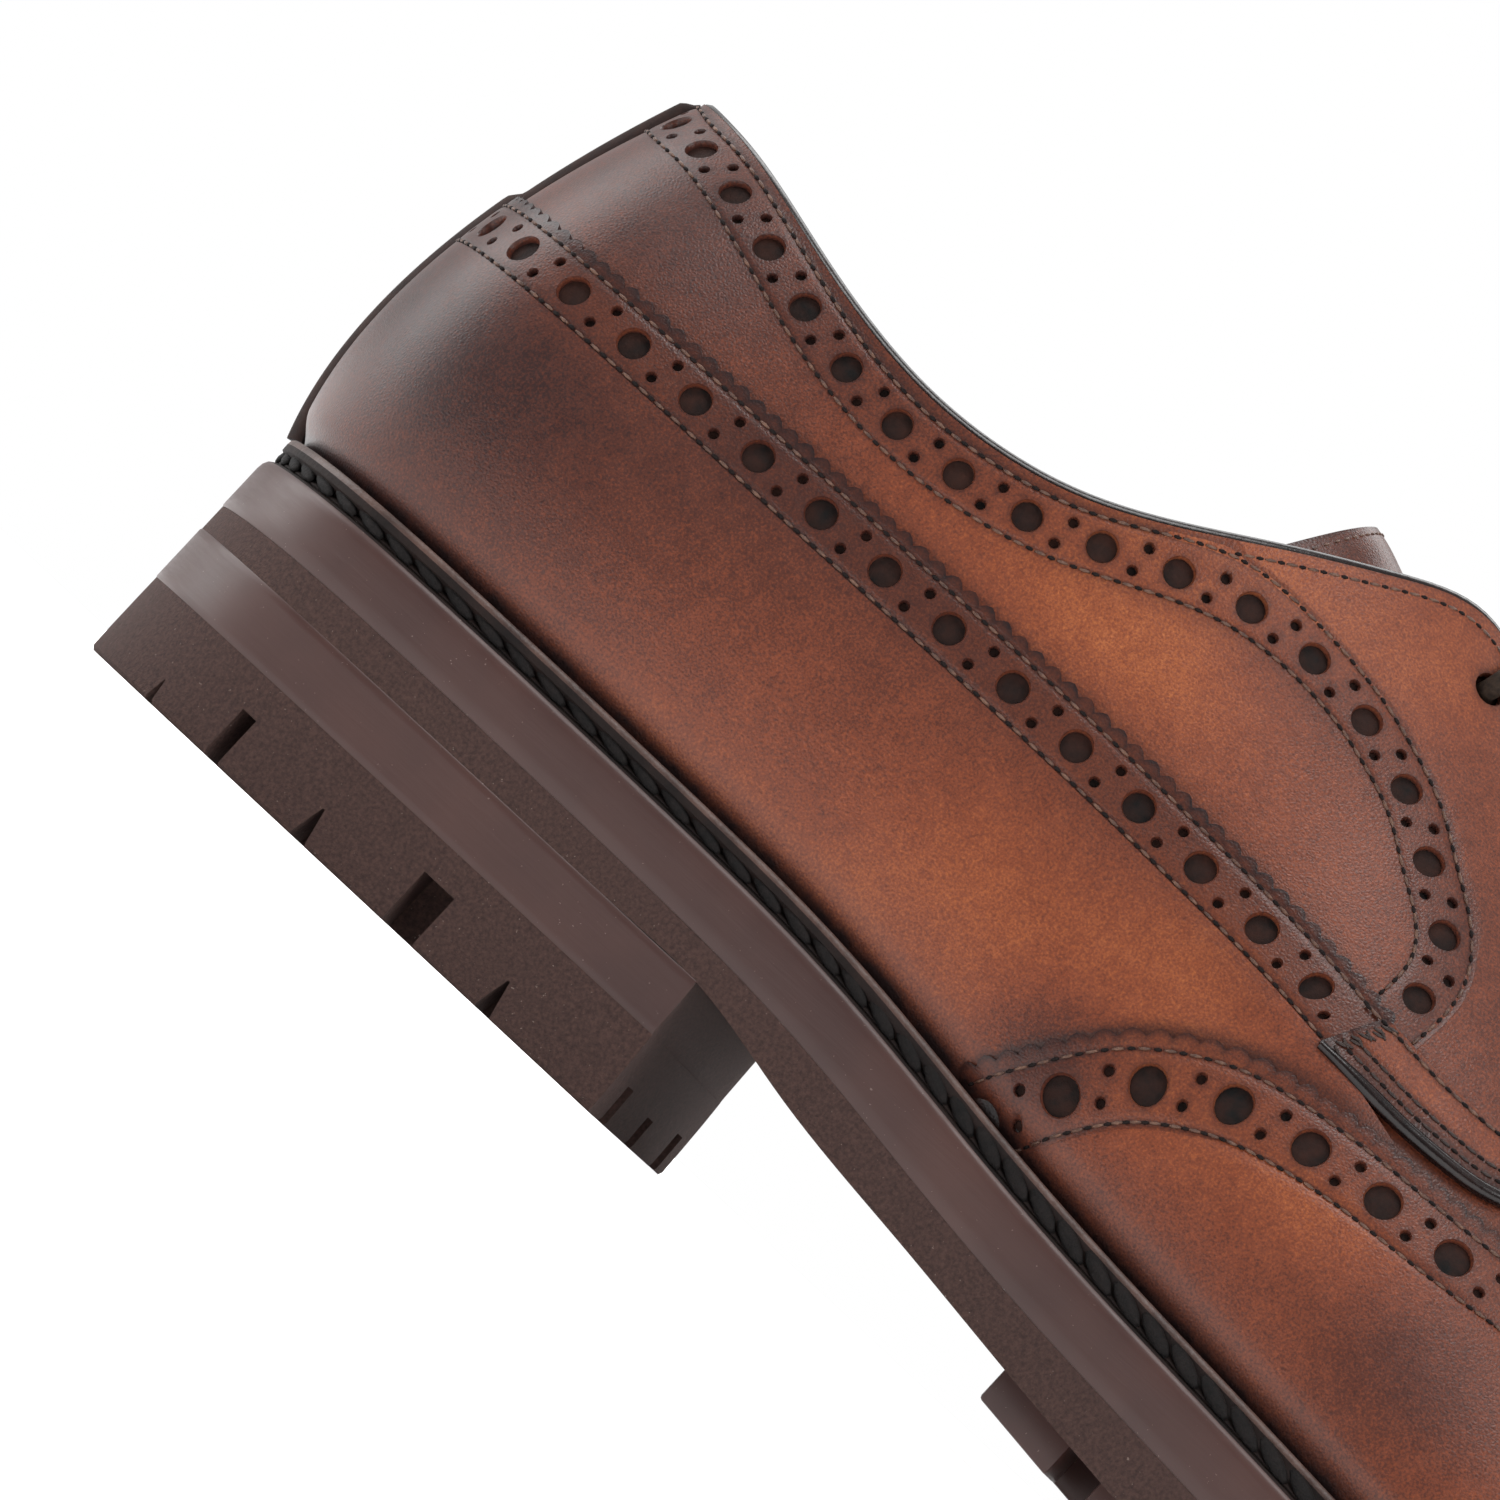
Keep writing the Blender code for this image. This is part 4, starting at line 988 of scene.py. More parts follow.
def eyelet_punches(side, spread):
    """Punches laid out in the panel's flat square so that each eyelet comes out round on the skin."""
    whole = bmesh.new()
    h = 0.002
    for s in EYELETS:
        phi = float(angle_of(s))
        t = share_below(side * phi, EYELET_INSET)
        u = (phi - FACING_FROM) / (FACING_TO - FACING_FROM)
        low = float(spread(np.array([u]), np.zeros(1))[1][0])
        v = (t - low) / (1.0 - low)
        spots = outer_face(*spread(np.array([u + h, u - h, u, u]), np.array([v, v, v + h, v - h])))
        by_u = (spots[0] - spots[1]) / (2.0 * h)
        by_v = (spots[2] - spots[3]) / (2.0 * h)
        one = unit(by_u)
        two = unit(by_v - by_v.dot(one) * one)
        back_map = np.linalg.inv(np.array([[by_u.dot(one), by_v.dot(one)], [0.0, by_v.dot(two)]]))
        bm = punches([(0.0, 0.0, EYELET_R)])
        for vert in bm.verts:
            du, dv = back_map @ np.array(vert.co[:2])
            vert.co = (u + du, v + dv, vert.co.z)
        pour(bm, whole)
    bmesh.ops.recalc_face_normals(whole, faces=whole.faces[:])
    return as_object(whole, "eyelet_punches")


def facing_dark(p, flat):
    """Dark at the edges and in a ring round each eyelet."""
    dark = 0.25 * np.exp(-flat[:, 1] / 0.05) + 0.3 * np.exp(-(1.0 - flat[:, 1]) / 0.03)
    for s in EYELETS:
        for side in (1.0, -1.0):
            phi = side * float(angle_of(s))
            far = np.linalg.norm(p - outer_face(phi, share_below(phi, EYELET_INSET)), axis=1)
            dark = np.maximum(dark, 0.75 * np.exp(-np.maximum(far - EYELET_R, 0.0) / 0.5))
    return dark


for name, side in SIDES.items():
    spread = facing_spread(side)
    field("facing_" + name + "_field", 110, 36, spread,
          lambda s, z, u, v: flap_ply(s) - 0.35 * (1.0 - ease(0.0, 0.05, v)), 1.0,
          ["facing_" + name], facing_dark, punch=eyelet_punches(side, spread))

# %% Vamp and toe fields
VAMP_FROM = float(angle_of(131.0))
VAMP_TO = float(angle_of(232.0))


def wing_ply(s):
    """How far the wing cap stands off the last: it climbs over the counter at its rear end."""
    return 1.8 - 0.25 * ease(118.0, 145.0, s)


def toe_inner(side, b):
    """Angle of the inner row of the wing band, by share of the way up."""
    line = wing_lines["lateral" if side > 0.0 else "medial"]
    a = line["arc"]
    phi, t = across(line, a, wing_shape(line, a, np.full(len(a), float(b))))
    low = under_welt(phi)
    share = (t - low) / (1.0 - low)
    order = np.argsort(share)
    return lambda v: np.interp(v, share[order], np.abs(phi)[order])


TOE_LAP = 0.6


def toe_field():
    """The toe between the two wing bands, with its edge a little under them."""
    outside = toe_inner(1.0, WING_SEAMS[0] + TOE_LAP)
    inside = toe_inner(-1.0, WING_SEAMS[0] + TOE_LAP)

    def spread(u, v):
        start = outside(v)
        end = 2.0 * math.pi - inside(v)
        phi = start + (end - start) * u
        low = under_welt(phi)
        return phi, low + (1.0 - low) * v

    def lift(s, z, u, v):
        return wing_ply(s) - 0.32 * (1.0 - ease(0.0, 0.009, np.minimum(u, 1.0 - u)))

    field("toe", 240, 60, spread, lift, 1.0, ["wing_cap"], lambda p, flat: welt_crease_shade(p),
          ridge=True)


def vamp_field():
    """Two halves that meet along the ridge in front of the throat."""
    for name, side in SIDES.items():
        def spread(u, v, side=side):
            q = VAMP_FROM + (VAMP_TO - VAMP_FROM) * u
            low = 0.28 + 0.22 * u
            return side * q, low + (1.0 - low) * v
        field("vamp_" + name, 90, 40, spread, lambda s, z, u, v: np.full(len(s), 0.25), 0.9,
              burnish_and_shade=lambda p, flat: wing_shadow(p))


toe_field()
vamp_field()


# %% [markdown]
# ## Brogued bands
# The bands carry the broguing: a row of large holes with pairs of pinholes between them, a row of
# stitches on each side and, on the wing and the counter strip, a pinked edge. The holes are
# punched while the band is flat, by one Boolean with all the punches, and each punch is a spun
# profile with a flared rim, so that the lip of every hole catches the light.

# %% Broguing
def brogue_spots(length, first, pitch, radius, centre, end=3.0):
    """Large holes at an even pitch, and a slanted pair of pinholes between each two."""
    spots = []
    a = first
    while a < length - end:
        if a > end:
            spots.append((a, centre, radius))
        for side in (-1.0, 1.0):
            pin = a + 0.5 * pitch + 0.55 * side
            if end < pin < length - end:
                spots.append((pin, centre + 1.5 * side, 0.55))
        a += pitch
    return spots


# %% Flat band
TOOTH = (1.0, 0.29, 0.0, 0.29)
TOOTH_STEP = 0.6125
HOLE_ROWS = (-2.2, -1.1, 0.0, 1.1, 2.2)
GROOVE = 0.5


def tooth_steps(length):
    """Grid steps along a band, a whole number of teeth."""
    return len(TOOTH) * int(length / (len(TOOTH) * TOOTH_STEP))


def flat_band(name, length, rows, pinked, spots):
    """The band before draping: a grid on the given rows, pinked along the last one and punched."""
    count = tooth_steps(length)
    bm = flat_sheet(count, len(rows) - 1)
    for v in bm.verts:
        column = round(v.co.x * count)
        row = round(v.co.y * (len(rows) - 1))
        b = rows[row]
        if row == len(rows) - 1:
            b -= pinked * TOOTH[column % len(TOOTH)]
        v.co = (v.co.x * length, b, v.co.z)
    bmesh.ops.recalc_face_normals(bm, faces=bm.faces[:])
    if spots:
        bm = cut(as_object(bm, name + "_flat"), as_object(punches(spots), name + "_punches"))
    bmesh.ops.triangulate(bm, faces=[f for f in bm.faces if len(f.verts) > 4])
    return bm


# %% Tone of a band
def edge_dark(a, b, length, edges, pinked, dark):
    """Burnish along the edges of a flat band, and at a pinked edge a thin black line of dyed edge and painted
    shadow. It follows the teeth of a pinked edge.
    """
    low, high = edges
    teeth = np.mod(a * tooth_steps(length) / length, float(len(TOOTH)))
    tooth = np.interp(teeth, range(len(TOOTH) + 1), TOOTH + TOOTH[:1])
    inward = np.maximum(high - pinked * tooth - b, 0.0)
    dark = (0.55 if pinked else 0.15) * np.exp(-inward / 1.3) + dark
    # The thin black line at a pinked edge: dyed cut edge and painted shadow.
    dark = np.maximum(dark, (0.95 if pinked else 0.0) * np.exp(-inward / 0.4))
    return dark + 0.15 * np.exp(-(b - low) / 0.8)


def hole_tone(flat, spots):
    """Burnish round each hole, and a painted highlight on the flared rims of the large ones."""
    a, b, w = flat.T
    dark = np.zeros(len(flat))
    glow = np.zeros(len(flat))
    for x, y, r in spots:
        far = np.hypot(a - x, b - y)
        dark = np.maximum(dark, 0.7 * np.exp(-np.maximum(far - r, 0.0) / 0.5))
        if r > 1.0:
            # Painted highlight on the lip of a large hole.
            glow = np.maximum(glow, (w > 0.6) * (w < 0.9) * np.exp(-((far - r) / 0.1) ** 2))
    return dark, glow


# %% Band
SLANT_REACH = 14.0


def band(name, line, edges, lift, thick, spots, pinked=0.0, shape=None, warm=-0.06, dark=0.1, rows=(),
         seams=(), end_dip=0.35, slants=(0.0, 0.0), shade=None, cut_end=0.0):
    """A band along a line: edges are its distances from the line, seams where it is stitched."""
    low, high = edges
    length = line["length"]
    grooves = [b + side for b in seams for side in (-GROOVE, 0.0, GROOVE)]
    bm = flat_band(name, length, sorted(set([low, high, *rows, *grooves])), pinked, spots)
    flat = flat_places(bm)
    a, b, w = flat.T
    if shape:
        b = shape(a, b)
    rest = {1.0: a, -1.0: length - a}
    for slant, end in zip(slants, rest):
        pivot = low if slant * end > 0.0 else high
        a = a + slant * (b - pivot) * (1.0 - ease(0.0, SLANT_REACH, rest[end]))
    phi, t = across(line, a, b)
    base = outer_face(phi, t)
    sink = end_dip * (1.0 - ease(0.0, 1.1, flat[:, 1] - low))
    dark = edge_dark(flat[:, 0], flat[:, 1], length, edges, pinked, dark)
    if shade:
        dark = dark + shade(flat[:, 1])
    for row in seams:
        groove = np.exp(-((flat[:, 1] - row) / 0.4) ** 2)
        sink = sink + 0.16 * groove
        dark = np.maximum(dark, 0.75 * groove)
    ring, glow = hole_tone(flat, spots)
    ends = cut_end * (1.0 - ease(0.5, 1.1, np.minimum(rest[1.0], rest[-1.0])))
    # Besides the burnish: painted shade in the welt's crease; the dark lower half of the thickness is dyed
    # cut edge and painted shade on the hole walls; glow lifts the rims as a painted highlight.
    dark = np.max([dark, ends, welt_crease_shade(base), ring, 0.9 * (w < 0.5)], axis=0) * (1.0 - 0.45 * glow)
    points = draped(phi, t, lift(base[:, 0]) - sink, thick * (1.0 - w))
    settle(bm, points, warmth_at(base) + warm + 0.15 * glow, np.clip(dark, 0.0, 1.0))
    finish_piece(bm, name, [CALF])


def backing(name, line, centre, lift, depth, width=4.9):
    """A strip inside a band that closes its holes from behind, in the near-black finish that paints the shade
    at the hole bottoms.
    """
    bm = flat_sheet(int(line["length"] / 1.5), 5)
    flat = flat_places(bm)
    phi, t = across(line, 0.6 + (line["length"] - 1.2) * flat[:, 0], centre + width * (flat[:, 1] - 0.5))
    settle(bm, draped(phi, t, lift(outer_face(phi, t)[:, 0]), depth + 0.1 * (1.0 - flat[:, 2])))
    finish_piece(bm, name + "_backing", [UNDERLAY_SHADE])


# %% Counter strip
def run_at(line, s, side=1.0):
    """Run along a line where it passes a station on one side."""
    p = outer_face(line["phi"], line["t"])
    keep = (line["phi"] * side) > 0.0
    return float(line["arc"][keep][np.argmin(np.abs(p[keep, 0] - s))])


def even_spots(line, s_one, s_two, between, radius, centre):
    """Broguing set out from two measured holes, with a known number of pitches between them."""
    one = run_at(line, s_one)
    pitch = (run_at(line, s_two) - one) / between
    first = one - pitch * math.ceil(one / pitch)
    return brogue_spots(line["length"], first, pitch, radius, centre)


STRIP_SEAMS = (-3.3, 3.2)
strip_spots = even_spots(strip_line, 56.4, 113.7, 6, 1.82, 0.0)
band("counter_strip", strip_line, (-4.0, 5.0), strip_ply, 1.2, strip_spots, 0.85, warm=-0.02,
     dark=0.34, rows=HOLE_ROWS + (4.0,), seams=STRIP_SEAMS, end_dip=0.14, slants=(-0.33, 0.33),
     shade=lambda b: 0.1 * ease(-4.0, 2.0, b))
backing("counter_strip", strip_line, 0.0, strip_ply, 0.85)


# %% Collar band
COLLAR_SEAMS = (-3.2, 3.2)
COLLAR_REACH = 3.4


def collar_swing(a):
    """How far the upper row swings out where the facing's own row joins it."""
    s = outer_face(collar_line["phi"], collar_line["t"])[:, 0]
    return np.interp(a, collar_line["arc"], 1.1 * np.exp(-((s - 94.0) / 8.0) ** 2))


def collar_shape(a, b):
    """Widens the band's upper half so that it reaches the topline along the collar."""
    arc = collar_line["arc"]
    phi, t = across(collar_line, arc, np.full(len(arc), COLLAR_REACH))
    rest = np.linalg.norm(outer_face(phi, np.ones(len(phi))) - outer_face(phi, t), axis=-1)
    swing = collar_swing(a)
    extra = np.interp(a, arc, (rest + 0.2) * (1.0 - ease(2.6, 4.6, rest)))
    return b + np.maximum(extra - swing, 0.0) * ease(3.2, 3.9, b) + swing * ease(1.6, 3.2, b)


collar_spots = even_spots(collar_line, 55.05, 105.6, 6, 1.75, 0.0)


def collar_ply(s):
    return quarter_ply(s) + 0.1


band("collar_band", collar_line, (-3.9, 3.9), collar_ply, 1.1, collar_spots, 0.0, collar_shape,
     rows=HOLE_ROWS, seams=COLLAR_SEAMS, end_dip=0.16)
backing("collar_band", collar_line, 0.0, collar_ply, 0.8)

# %% Wing bands
WING_PITCH = 9.5
WING_FIRST = 1.5
for name, line in wing_lines.items():
    first = WING_FIRST
    if name == "medial":
        first = (line["length"] - WING_FIRST) % WING_PITCH
    spots = brogue_spots(line["length"], first, WING_PITCH, 2.05, WING_HOLES, 1.0)
    band("wing_band_" + name, line, (WING_SEAMS[0] - TOE_LAP, 0.5), wing_ply, 1.0, spots,
         0.9, lambda a, b, line=line: wing_shape(line, a, b), warm=-0.03, dark=0.15,
         rows=[WING_HOLES + b for b in HOLE_ROWS] + [-0.5], seams=WING_SEAMS, end_dip=0.16)
    backing("wing_band_" + name, line, WING_HOLES - 0.2, wing_ply, 0.75, 6.0)

# %% Flap bands
FLAP_LOW = -3.9
FLAP_HIGH = 3.6
FLAP_SEAMS = (-2.3, -0.9, 3.0)
FLAP_SLANT = 0.38


def flap_lift(s):
    return 1.5 + 0.9 * (1.0 - ease(138.0, 150.0, s))


for name, side in SIDES.items():
    band("flap_band_" + name, flap_lines[name], (FLAP_LOW, FLAP_HIGH), flap_lift, 1.2, [],
         rows=(-0.2, 0.4, 1.4, 2.2), seams=FLAP_SEAMS, warm=0.08, dark=0.03, end_dip=0.0, cut_end=0.95,
         slants=(FLAP_SLANT, 0.0) if side > 0.0 else (0.0, -FLAP_SLANT),
         shade=lambda b: 0.75 * (1.0 - ease(-2.6, 0.6, b)))


# %% [markdown]
# ## Rolled edges
# Raw leather edges are folded or waxed. A round bead along the topline and round each flap covers
# the cut, drawn as a curve with a round section and then turned into a mesh.

# %% Beads
def bead(name, points, radius, finish, stands_for=(), scale=None):
    """A round bead along points in millimetres, thinner or thicker where scale says so."""
    data = bpy.data.curves.new(name, "CURVE")
    data.dimensions = "3D"
    data.bevel_depth = radius * MM
    data.bevel_resolution = 3
    data.use_fill_caps = True
    run = data.splines.new("POLY")
    run.points.add(len(points) - 1)
    for k, (point, p) in enumerate(zip(run.points, place(points))):
        point.co = (p[0], p[1], p[2], 1.0)
        point.radius = 1.0 if scale is None else scale[k]
    holder = bpy.data.objects.new(name + "_path", data)
    bpy.context.collection.objects.link(holder)
    finish_piece(baked(holder), name, [finish], stands_for, 60.0)


collar_end = float(angle_of(172.6))
collar_phi = np.linspace(-collar_end, collar_end, 420)
collar_lift = np.interp(station(collar_phi), [0.0, 108.0, 140.0, 173.0], [-0.75, -0.75, -0.1, -0.1])
bead("topline_edge", skin(collar_phi, 1.0, collar_lift), 1.05, EDGE_WAX)

for name, line in flap_lines.items():
    a = np.linspace(0.3, line["length"], 120)
    phi, t = across(line, a if name == "lateral" else line["length"] - a, np.full(120, FLAP_LOW))
    size = 0.6 + 0.4 * ease(0.0, 9.0, a)
    path = skin(phi, t, flap_lift(station(phi)) - 0.55 * size)
    bead("flap_edge_" + name, path, 0.95, EDGE_WAX, scale=size)


# %% [markdown]
# ## Stitches
# Each seam is a run of small thread loops, about 2.5 mm apart, in the groove of its band, and
# between two loops the needle left a dark hole. One low ball, stretched along the seam, stands for
# each loop, and a smaller near-black one for each hole paints the shade inside it. All of a kind are
# one piece.

# %% Upper stitches
STITCH = 2.45
stitches = []
dark_stitches = []
needle_holes = []


def threads(line, a, b, a_next, b_next, lift, kept):
    """Adds one loop from each place beside a line to its next place: middle, run and way off the skin."""
    phi, t = across(line, a, b)
    before = draped(phi, t, lift(outer_face(phi, t)[:, 0]))
    off = unit(skin(phi, t, 1.0) - skin(phi, t, 0.0))
    phi, t = across(line, a_next, b_next)
    after = draped(phi, t, lift(outer_face(phi, t)[:, 0]))
    kept.extend(zip(0.5 * (before + after), unit(after - before), off))


def sew(line, b, lift, ends=1.2, loops_kept=stitches):
    """Adds a row of stitches along a line, and the needle holes between them."""
    count = round((line["length"] - 2.0 * ends) / STITCH)
    pitch = (line["length"] - 2.0 * ends) / count
    for first, kept in ((0.5, loops_kept), (0.0, needle_holes)):
        a = ends + pitch * (np.arange(count) + first)
        side = b(a) if callable(b) else np.full(count, float(b))
        threads(line, a - 0.3, side, a + 0.3, side, lift, kept)


def loop_matrix(where, run, off, sizes):
    """Matrix that stretches a ball along run and flattens it against off."""
    side = np.cross(off, run)
    turn = Matrix([[run[i] * sizes[0], side[i] * sizes[1], off[i] * sizes[2]] for i in range(3)]).to_4x4()
    return Matrix.Translation(Vector(place(where))) @ turn


def strip_lift(s):
    return quarter_ply(s) + 0.78


def collar_upper(a):
    return COLLAR_SEAMS[1] + collar_swing(a)


for b, collar_b in zip(STRIP_SEAMS, (COLLAR_SEAMS[0], collar_upper)):
    sew(strip_line, b, strip_lift)
    sew(collar_line, collar_b, lambda s: quarter_ply(s) + 0.05, 0.2)
for name in SIDES:
    for b in WING_SEAMS:
        sew(wing_lines[name], lambda a, b=b, line=wing_lines[name]: wing_shape(line, a, np.full(len(a), b)),
            lambda s: wing_ply(s) - 0.08)
    for b in FLAP_SEAMS:
        sew(flap_lines[name], b, lambda s: flap_lift(s) - 0.08, 3.0 if b < 0.0 else 0.6,
            dark_stitches if b < 0.0 else stitches)

# %% Flap end bars
BAR_LOOPS = 15
for name, line in flap_lines.items():
    b = np.linspace(FLAP_LOW + 0.9, FLAP_HIGH - 0.7, BAR_LOOPS)
    a = FLAP_SLANT * (b - FLAP_LOW) + np.where(np.arange(BAR_LOOPS) % 2, 0.7, 1.1)
    tilt = np.where(np.arange(BAR_LOOPS) % 3, 0.35, -0.5)
    ends = [a, a + 1.2]
    if name == "medial":
        ends = [line["length"] - end for end in ends]
    threads(line, ends[0], b, ends[1], b + tilt, lambda s: flap_lift(s) + 0.02, dark_stitches)

# %% Facing stitches
FACING_EDGE = 1.9
for name, side in SIDES.items():
    s = np.linspace(91.0, 168.5, 160)
    phi = side * angle_of(s)
    t = np.array([share_below(q, FACING_EDGE) for q in phi])
    sew(side_line(phi, t, side), 0.0, lambda s: flap_ply(s) - 0.02)


# %% Thread pieces
LOOP = (0.8, 0.21, 0.22)
PRICK = (0.5, 0.25, 0.2)
BATCH = 50


def thread_piece(name, spots, sizes, finish, rings=(6, 4)):
    """A ball at each place, all as one piece. It is made in batches because each operator reads its
    whole mesh."""
    whole = bmesh.new()
    for first in range(0, len(spots), BATCH):
        bm = bmesh.new()
        for where, run, off in spots[first:first + BATCH]:
            bmesh.ops.create_uvsphere(bm, u_segments=rings[0], v_segments=rings[1], radius=MM,
                                      matrix=loop_matrix(where, run, off, sizes))
        pour(bm, whole)
    finish_piece(whole, name, [finish], sharp=80.0)


thread_piece("upper_stitches", stitches, LOOP, THREAD)
thread_piece("flap_stitches", dark_stitches, LOOP, DARK_THREAD)
thread_piece("needle_holes", needle_holes, PRICK, NEEDLE_SHADE)
print("stitches:", len(stitches) + len(dark_stitches))


# %% [markdown]
# ## Storm welt
# The welt is a strip of leather sewn round the shoe, with a ridge that stands up against the upper
# and a groove in front of it for the thread. It is a grid rolled into a closed ring: one row for
# each corner of its profile.

# %% Rings
def grid_on(rows, second=()):
    """A grid on rows of points in millimetres. The strips between rows that second names take the
    second finish."""
    columns = len(rows[0]) - 1
    strips = len(rows) - 1
    bm = bmesh.new()
    bmesh.ops.create_grid(bm, x_segments=columns, y_segments=strips, size=0.5)
    for f in bm.faces:
        f.material_index = 1 if int((f.calc_center_median().y + 0.5) * strips) in second else 0
    for v in bm.verts:
        v.co = place(rows[round((v.co.y + 0.5) * strips)][round((v.co.x + 0.5) * columns)])
    return bm


def ring_piece(name, profile, finishes, stands_for=(), columns=400, sharp=50.0, second=()):
    """A closed ring round the shoe: profile gives one loop of points for each corner."""
    rows = [np.vstack([row[:-1], row[:1]]) for row in profile(np.linspace(0.0, 2.0 * math.pi, columns + 1))]
    finish_piece(grid_on(rows + rows[:1], second), name, finishes, stands_for, sharp)


def level_row(phi, inset, drop):
    """A loop inset from the sole's edge, a distance below the top of the midsole."""
    xy = edge_in(phi, inset * np.ones(len(phi)))
    return np.column_stack([xy, sole_top(xy[:, 0]) - drop])


def welt_profile(phi):
    rise = welt_lip(phi)
    lip = skin(phi, rise)
    foot = skin(phi, 0.0)
    out = plan_out(phi)
    room = margin_at(station(phi)) - ((lip - foot)[:, :2] * out).sum(-1)
    scale = np.minimum(1.0, (room - 0.5) / 2.4)

    def by_lip(away, drop):
        xy = lip[:, :2] + out * (away * scale)[:, None]
        return np.column_stack([xy, lip[:, 2] - drop])

    base = foot[:, :2] + out * GAP
    return [level_row(phi, 1.3, 0.0), level_row(phi, 1.2, -0.2), level_row(phi, 1.5, -0.45),
            level_row(phi, 2.1, -0.7), by_lip(2.1, 2.4), by_lip(2.15, 1.6), by_lip(2.0, 1.0),
            by_lip(1.65, 0.8), by_lip(1.3, 1.0), by_lip(1.0, 1.8),
            np.column_stack([base, sole_top(base[:, 0]) + 0.1])]


# The strips along the ridge's top take the lighter finish as a painted highlight.
ring_piece("storm_welt", welt_profile, [WELT_AND_SHADE, RIDGE_HIGHLIGHT], ["welt"], second=(5, 6, 7))


# %% Welt stitches
ROPE_PITCH = 4.7
ROPE_LOOP = (3.0, 0.95, 0.6)
ROPE_PLACE = {"inset": 1.5, "drop": -1.1}


def welt_stitches():
    """Fat loops of waxed thread that lie slanted in the groove."""
    fine = np.linspace(0.0, 2.0 * math.pi, 2001)
    run = run_along(level_row(fine, **ROPE_PLACE))
    count = int(run[-1] / ROPE_PITCH)
    spots = []
    for k in range(count):
        phi = float(np.interp(run[-1] * k / count, run, fine))
        spot = level_row(np.array([phi - 0.004, phi, phi + 0.004]), **ROPE_PLACE)
        along = unit(spot[2] - spot[0])
        out = np.append(plan_out(np.array([phi]))[0], 0.35)
        off = unit(out - along * out.dot(along))
        side = np.cross(off, along)
        slant = unit(along - 0.3 * side * (1.0 if phi < math.pi else -1.0))
        spots.append((spot[1], slant, off))
    thread_piece("welt_stitches", spots, ROPE_LOOP, ROPE, (10, 6))


welt_stitches()

# %% [markdown]
# ## Sole layers
# The sole is built up in layers: a smooth midsole band, a rough outsole edge that carries the
# lugs, and the heel with its own smooth and rough bands.

# %% Midsole and outsole
MIDSOLE_THICK = 7.6


def midsole_profile(phi):
    rows = [(14.0, 0.05), (1.7, 0.02), (0.95, 0.1), (0.4, 0.42), (0.1, 1.0), (0.0, 1.8), (0.0, 3.8),
            (0.0, 5.8), (0.0, 7.3), (0.12, MIDSOLE_THICK), (14.0, MIDSOLE_THICK)]
    return [level_row(phi, inset, drop) for inset, drop in rows]


# The strips of the top bevel take the dark welt finish: painted shade under the welt's edge.
ring_piece("midsole_band", midsole_profile, [RUBBER, WELT_AND_SHADE], ["midsole"], second=(1, 2))


PLATE_TRIM = 0.03


def plate(name, inset, low, high, finishes, stands_for=()):
    """A plate in the outline of the sole, between two heights given by station."""
    bm = flat_sheet(220, 10)
    flat = flat_places(bm)
    phi = PLATE_TRIM + (math.pi - 2.0 * PLATE_TRIM) * flat[:, 0]
    one = edge_in(phi, inset(phi))
    two = edge_in(-phi, inset(phi))
    xy = one + (two - one) * flat[:, 1][:, None]
    z = np.where(flat[:, 2] > 0.5, high(xy[:, 0]), low(xy[:, 0]))
    if len(finishes) > 1:
        for f in bm.faces:
            f.material_index = 1 if all(v.co.z < 0.5 for v in f.verts) else 0
    settle(bm, np.column_stack([xy, z]))
    finish_piece(bm, name, finishes, stands_for)


plate("outsole_plate", lambda phi: np.full(len(phi), 0.12), sole_under,
      lambda s: sole_top(s) - MIDSOLE_THICK - 0.02, [ROUGH_RUBBER, RUBBER], ["outsole"])

# %% Forefoot lugs
LUG_START = 136.0
LUG_PITCH = 16.0
LUG_ROWS = 10
LUG_LENGTH = 11.0
LUG_DEPTH = 4.0
OUTER_LUGS = ((0.02, 0.19), (0.81, 0.98))
INNER_LUGS = ((0.235, 0.47), (0.53, 0.765))


def lug_block(bm, s0, s1, f0, f1):
    """One lug with eased edges, between two stations and two shares of the way across."""
    made = bmesh.ops.create_cube(bm, size=1.0)
    for v in made["verts"]:
        s = s0 if v.co.x < 0.0 else s1
        a = float(angle_of(s))
        y0 = float(edge_y(a)) + 0.5
        y1 = float(edge_y(2.0 * math.pi - a)) - 0.5
        y = y0 + (y1 - y0) * (f0 if v.co.y < 0.0 else f1)
        under = float(sole_under(s))
        foot = under - LUG_DEPTH if under > LUG_DEPTH + 0.5 else 0.0
        z = max(foot, 0.0) if v.co.z < 0.0 else under + 0.4
        v.co = place((s, y, z))
    edges = {e for v in made["verts"] for e in v.link_edges}
    bmesh.ops.bevel(bm, geom=list(edges), offset=0.0004, offset_type="OFFSET", affect="EDGES", segments=2,
                    profile=0.5, material=-1)


bm = bmesh.new()
for row in range(LUG_ROWS):
    s = LUG_START + LUG_PITCH * row
    for f0, f1 in OUTER_LUGS:
        lug_block(bm, s, s + LUG_LENGTH, f0, f1)
    if row < LUG_ROWS - 1:
        s += 0.5 * LUG_PITCH
        for f0, f1 in INNER_LUGS:
            lug_block(bm, s, s + LUG_LENGTH, f0, f1)
finish_piece(bm, "forefoot_lugs", [RUBBER], sharp=30.0)

# %% Heel
HEEL_FRONT = 82.0
HEEL_TOP = 18.3
LIFT_TOP = 10.8
NOTCHES = [(14.7, 1.6, 3.0, True), (25.4, 2.2, 6.5, False), (39.0, 2.6, 4.5, True), (54.2, 4.5, 7.0, False),
           (67.0, 2.6, 4.5, True)]
CHANNELS = [(41.0, 45.0, -18.0, 18.0, 4.0), (22.0, 95.0, -2.5, 2.5, 4.0), (72.0, 95.0, -26.4, -21.6, 5.0),
            (72.0, 95.0, 21.6, 26.4, 5.0)]


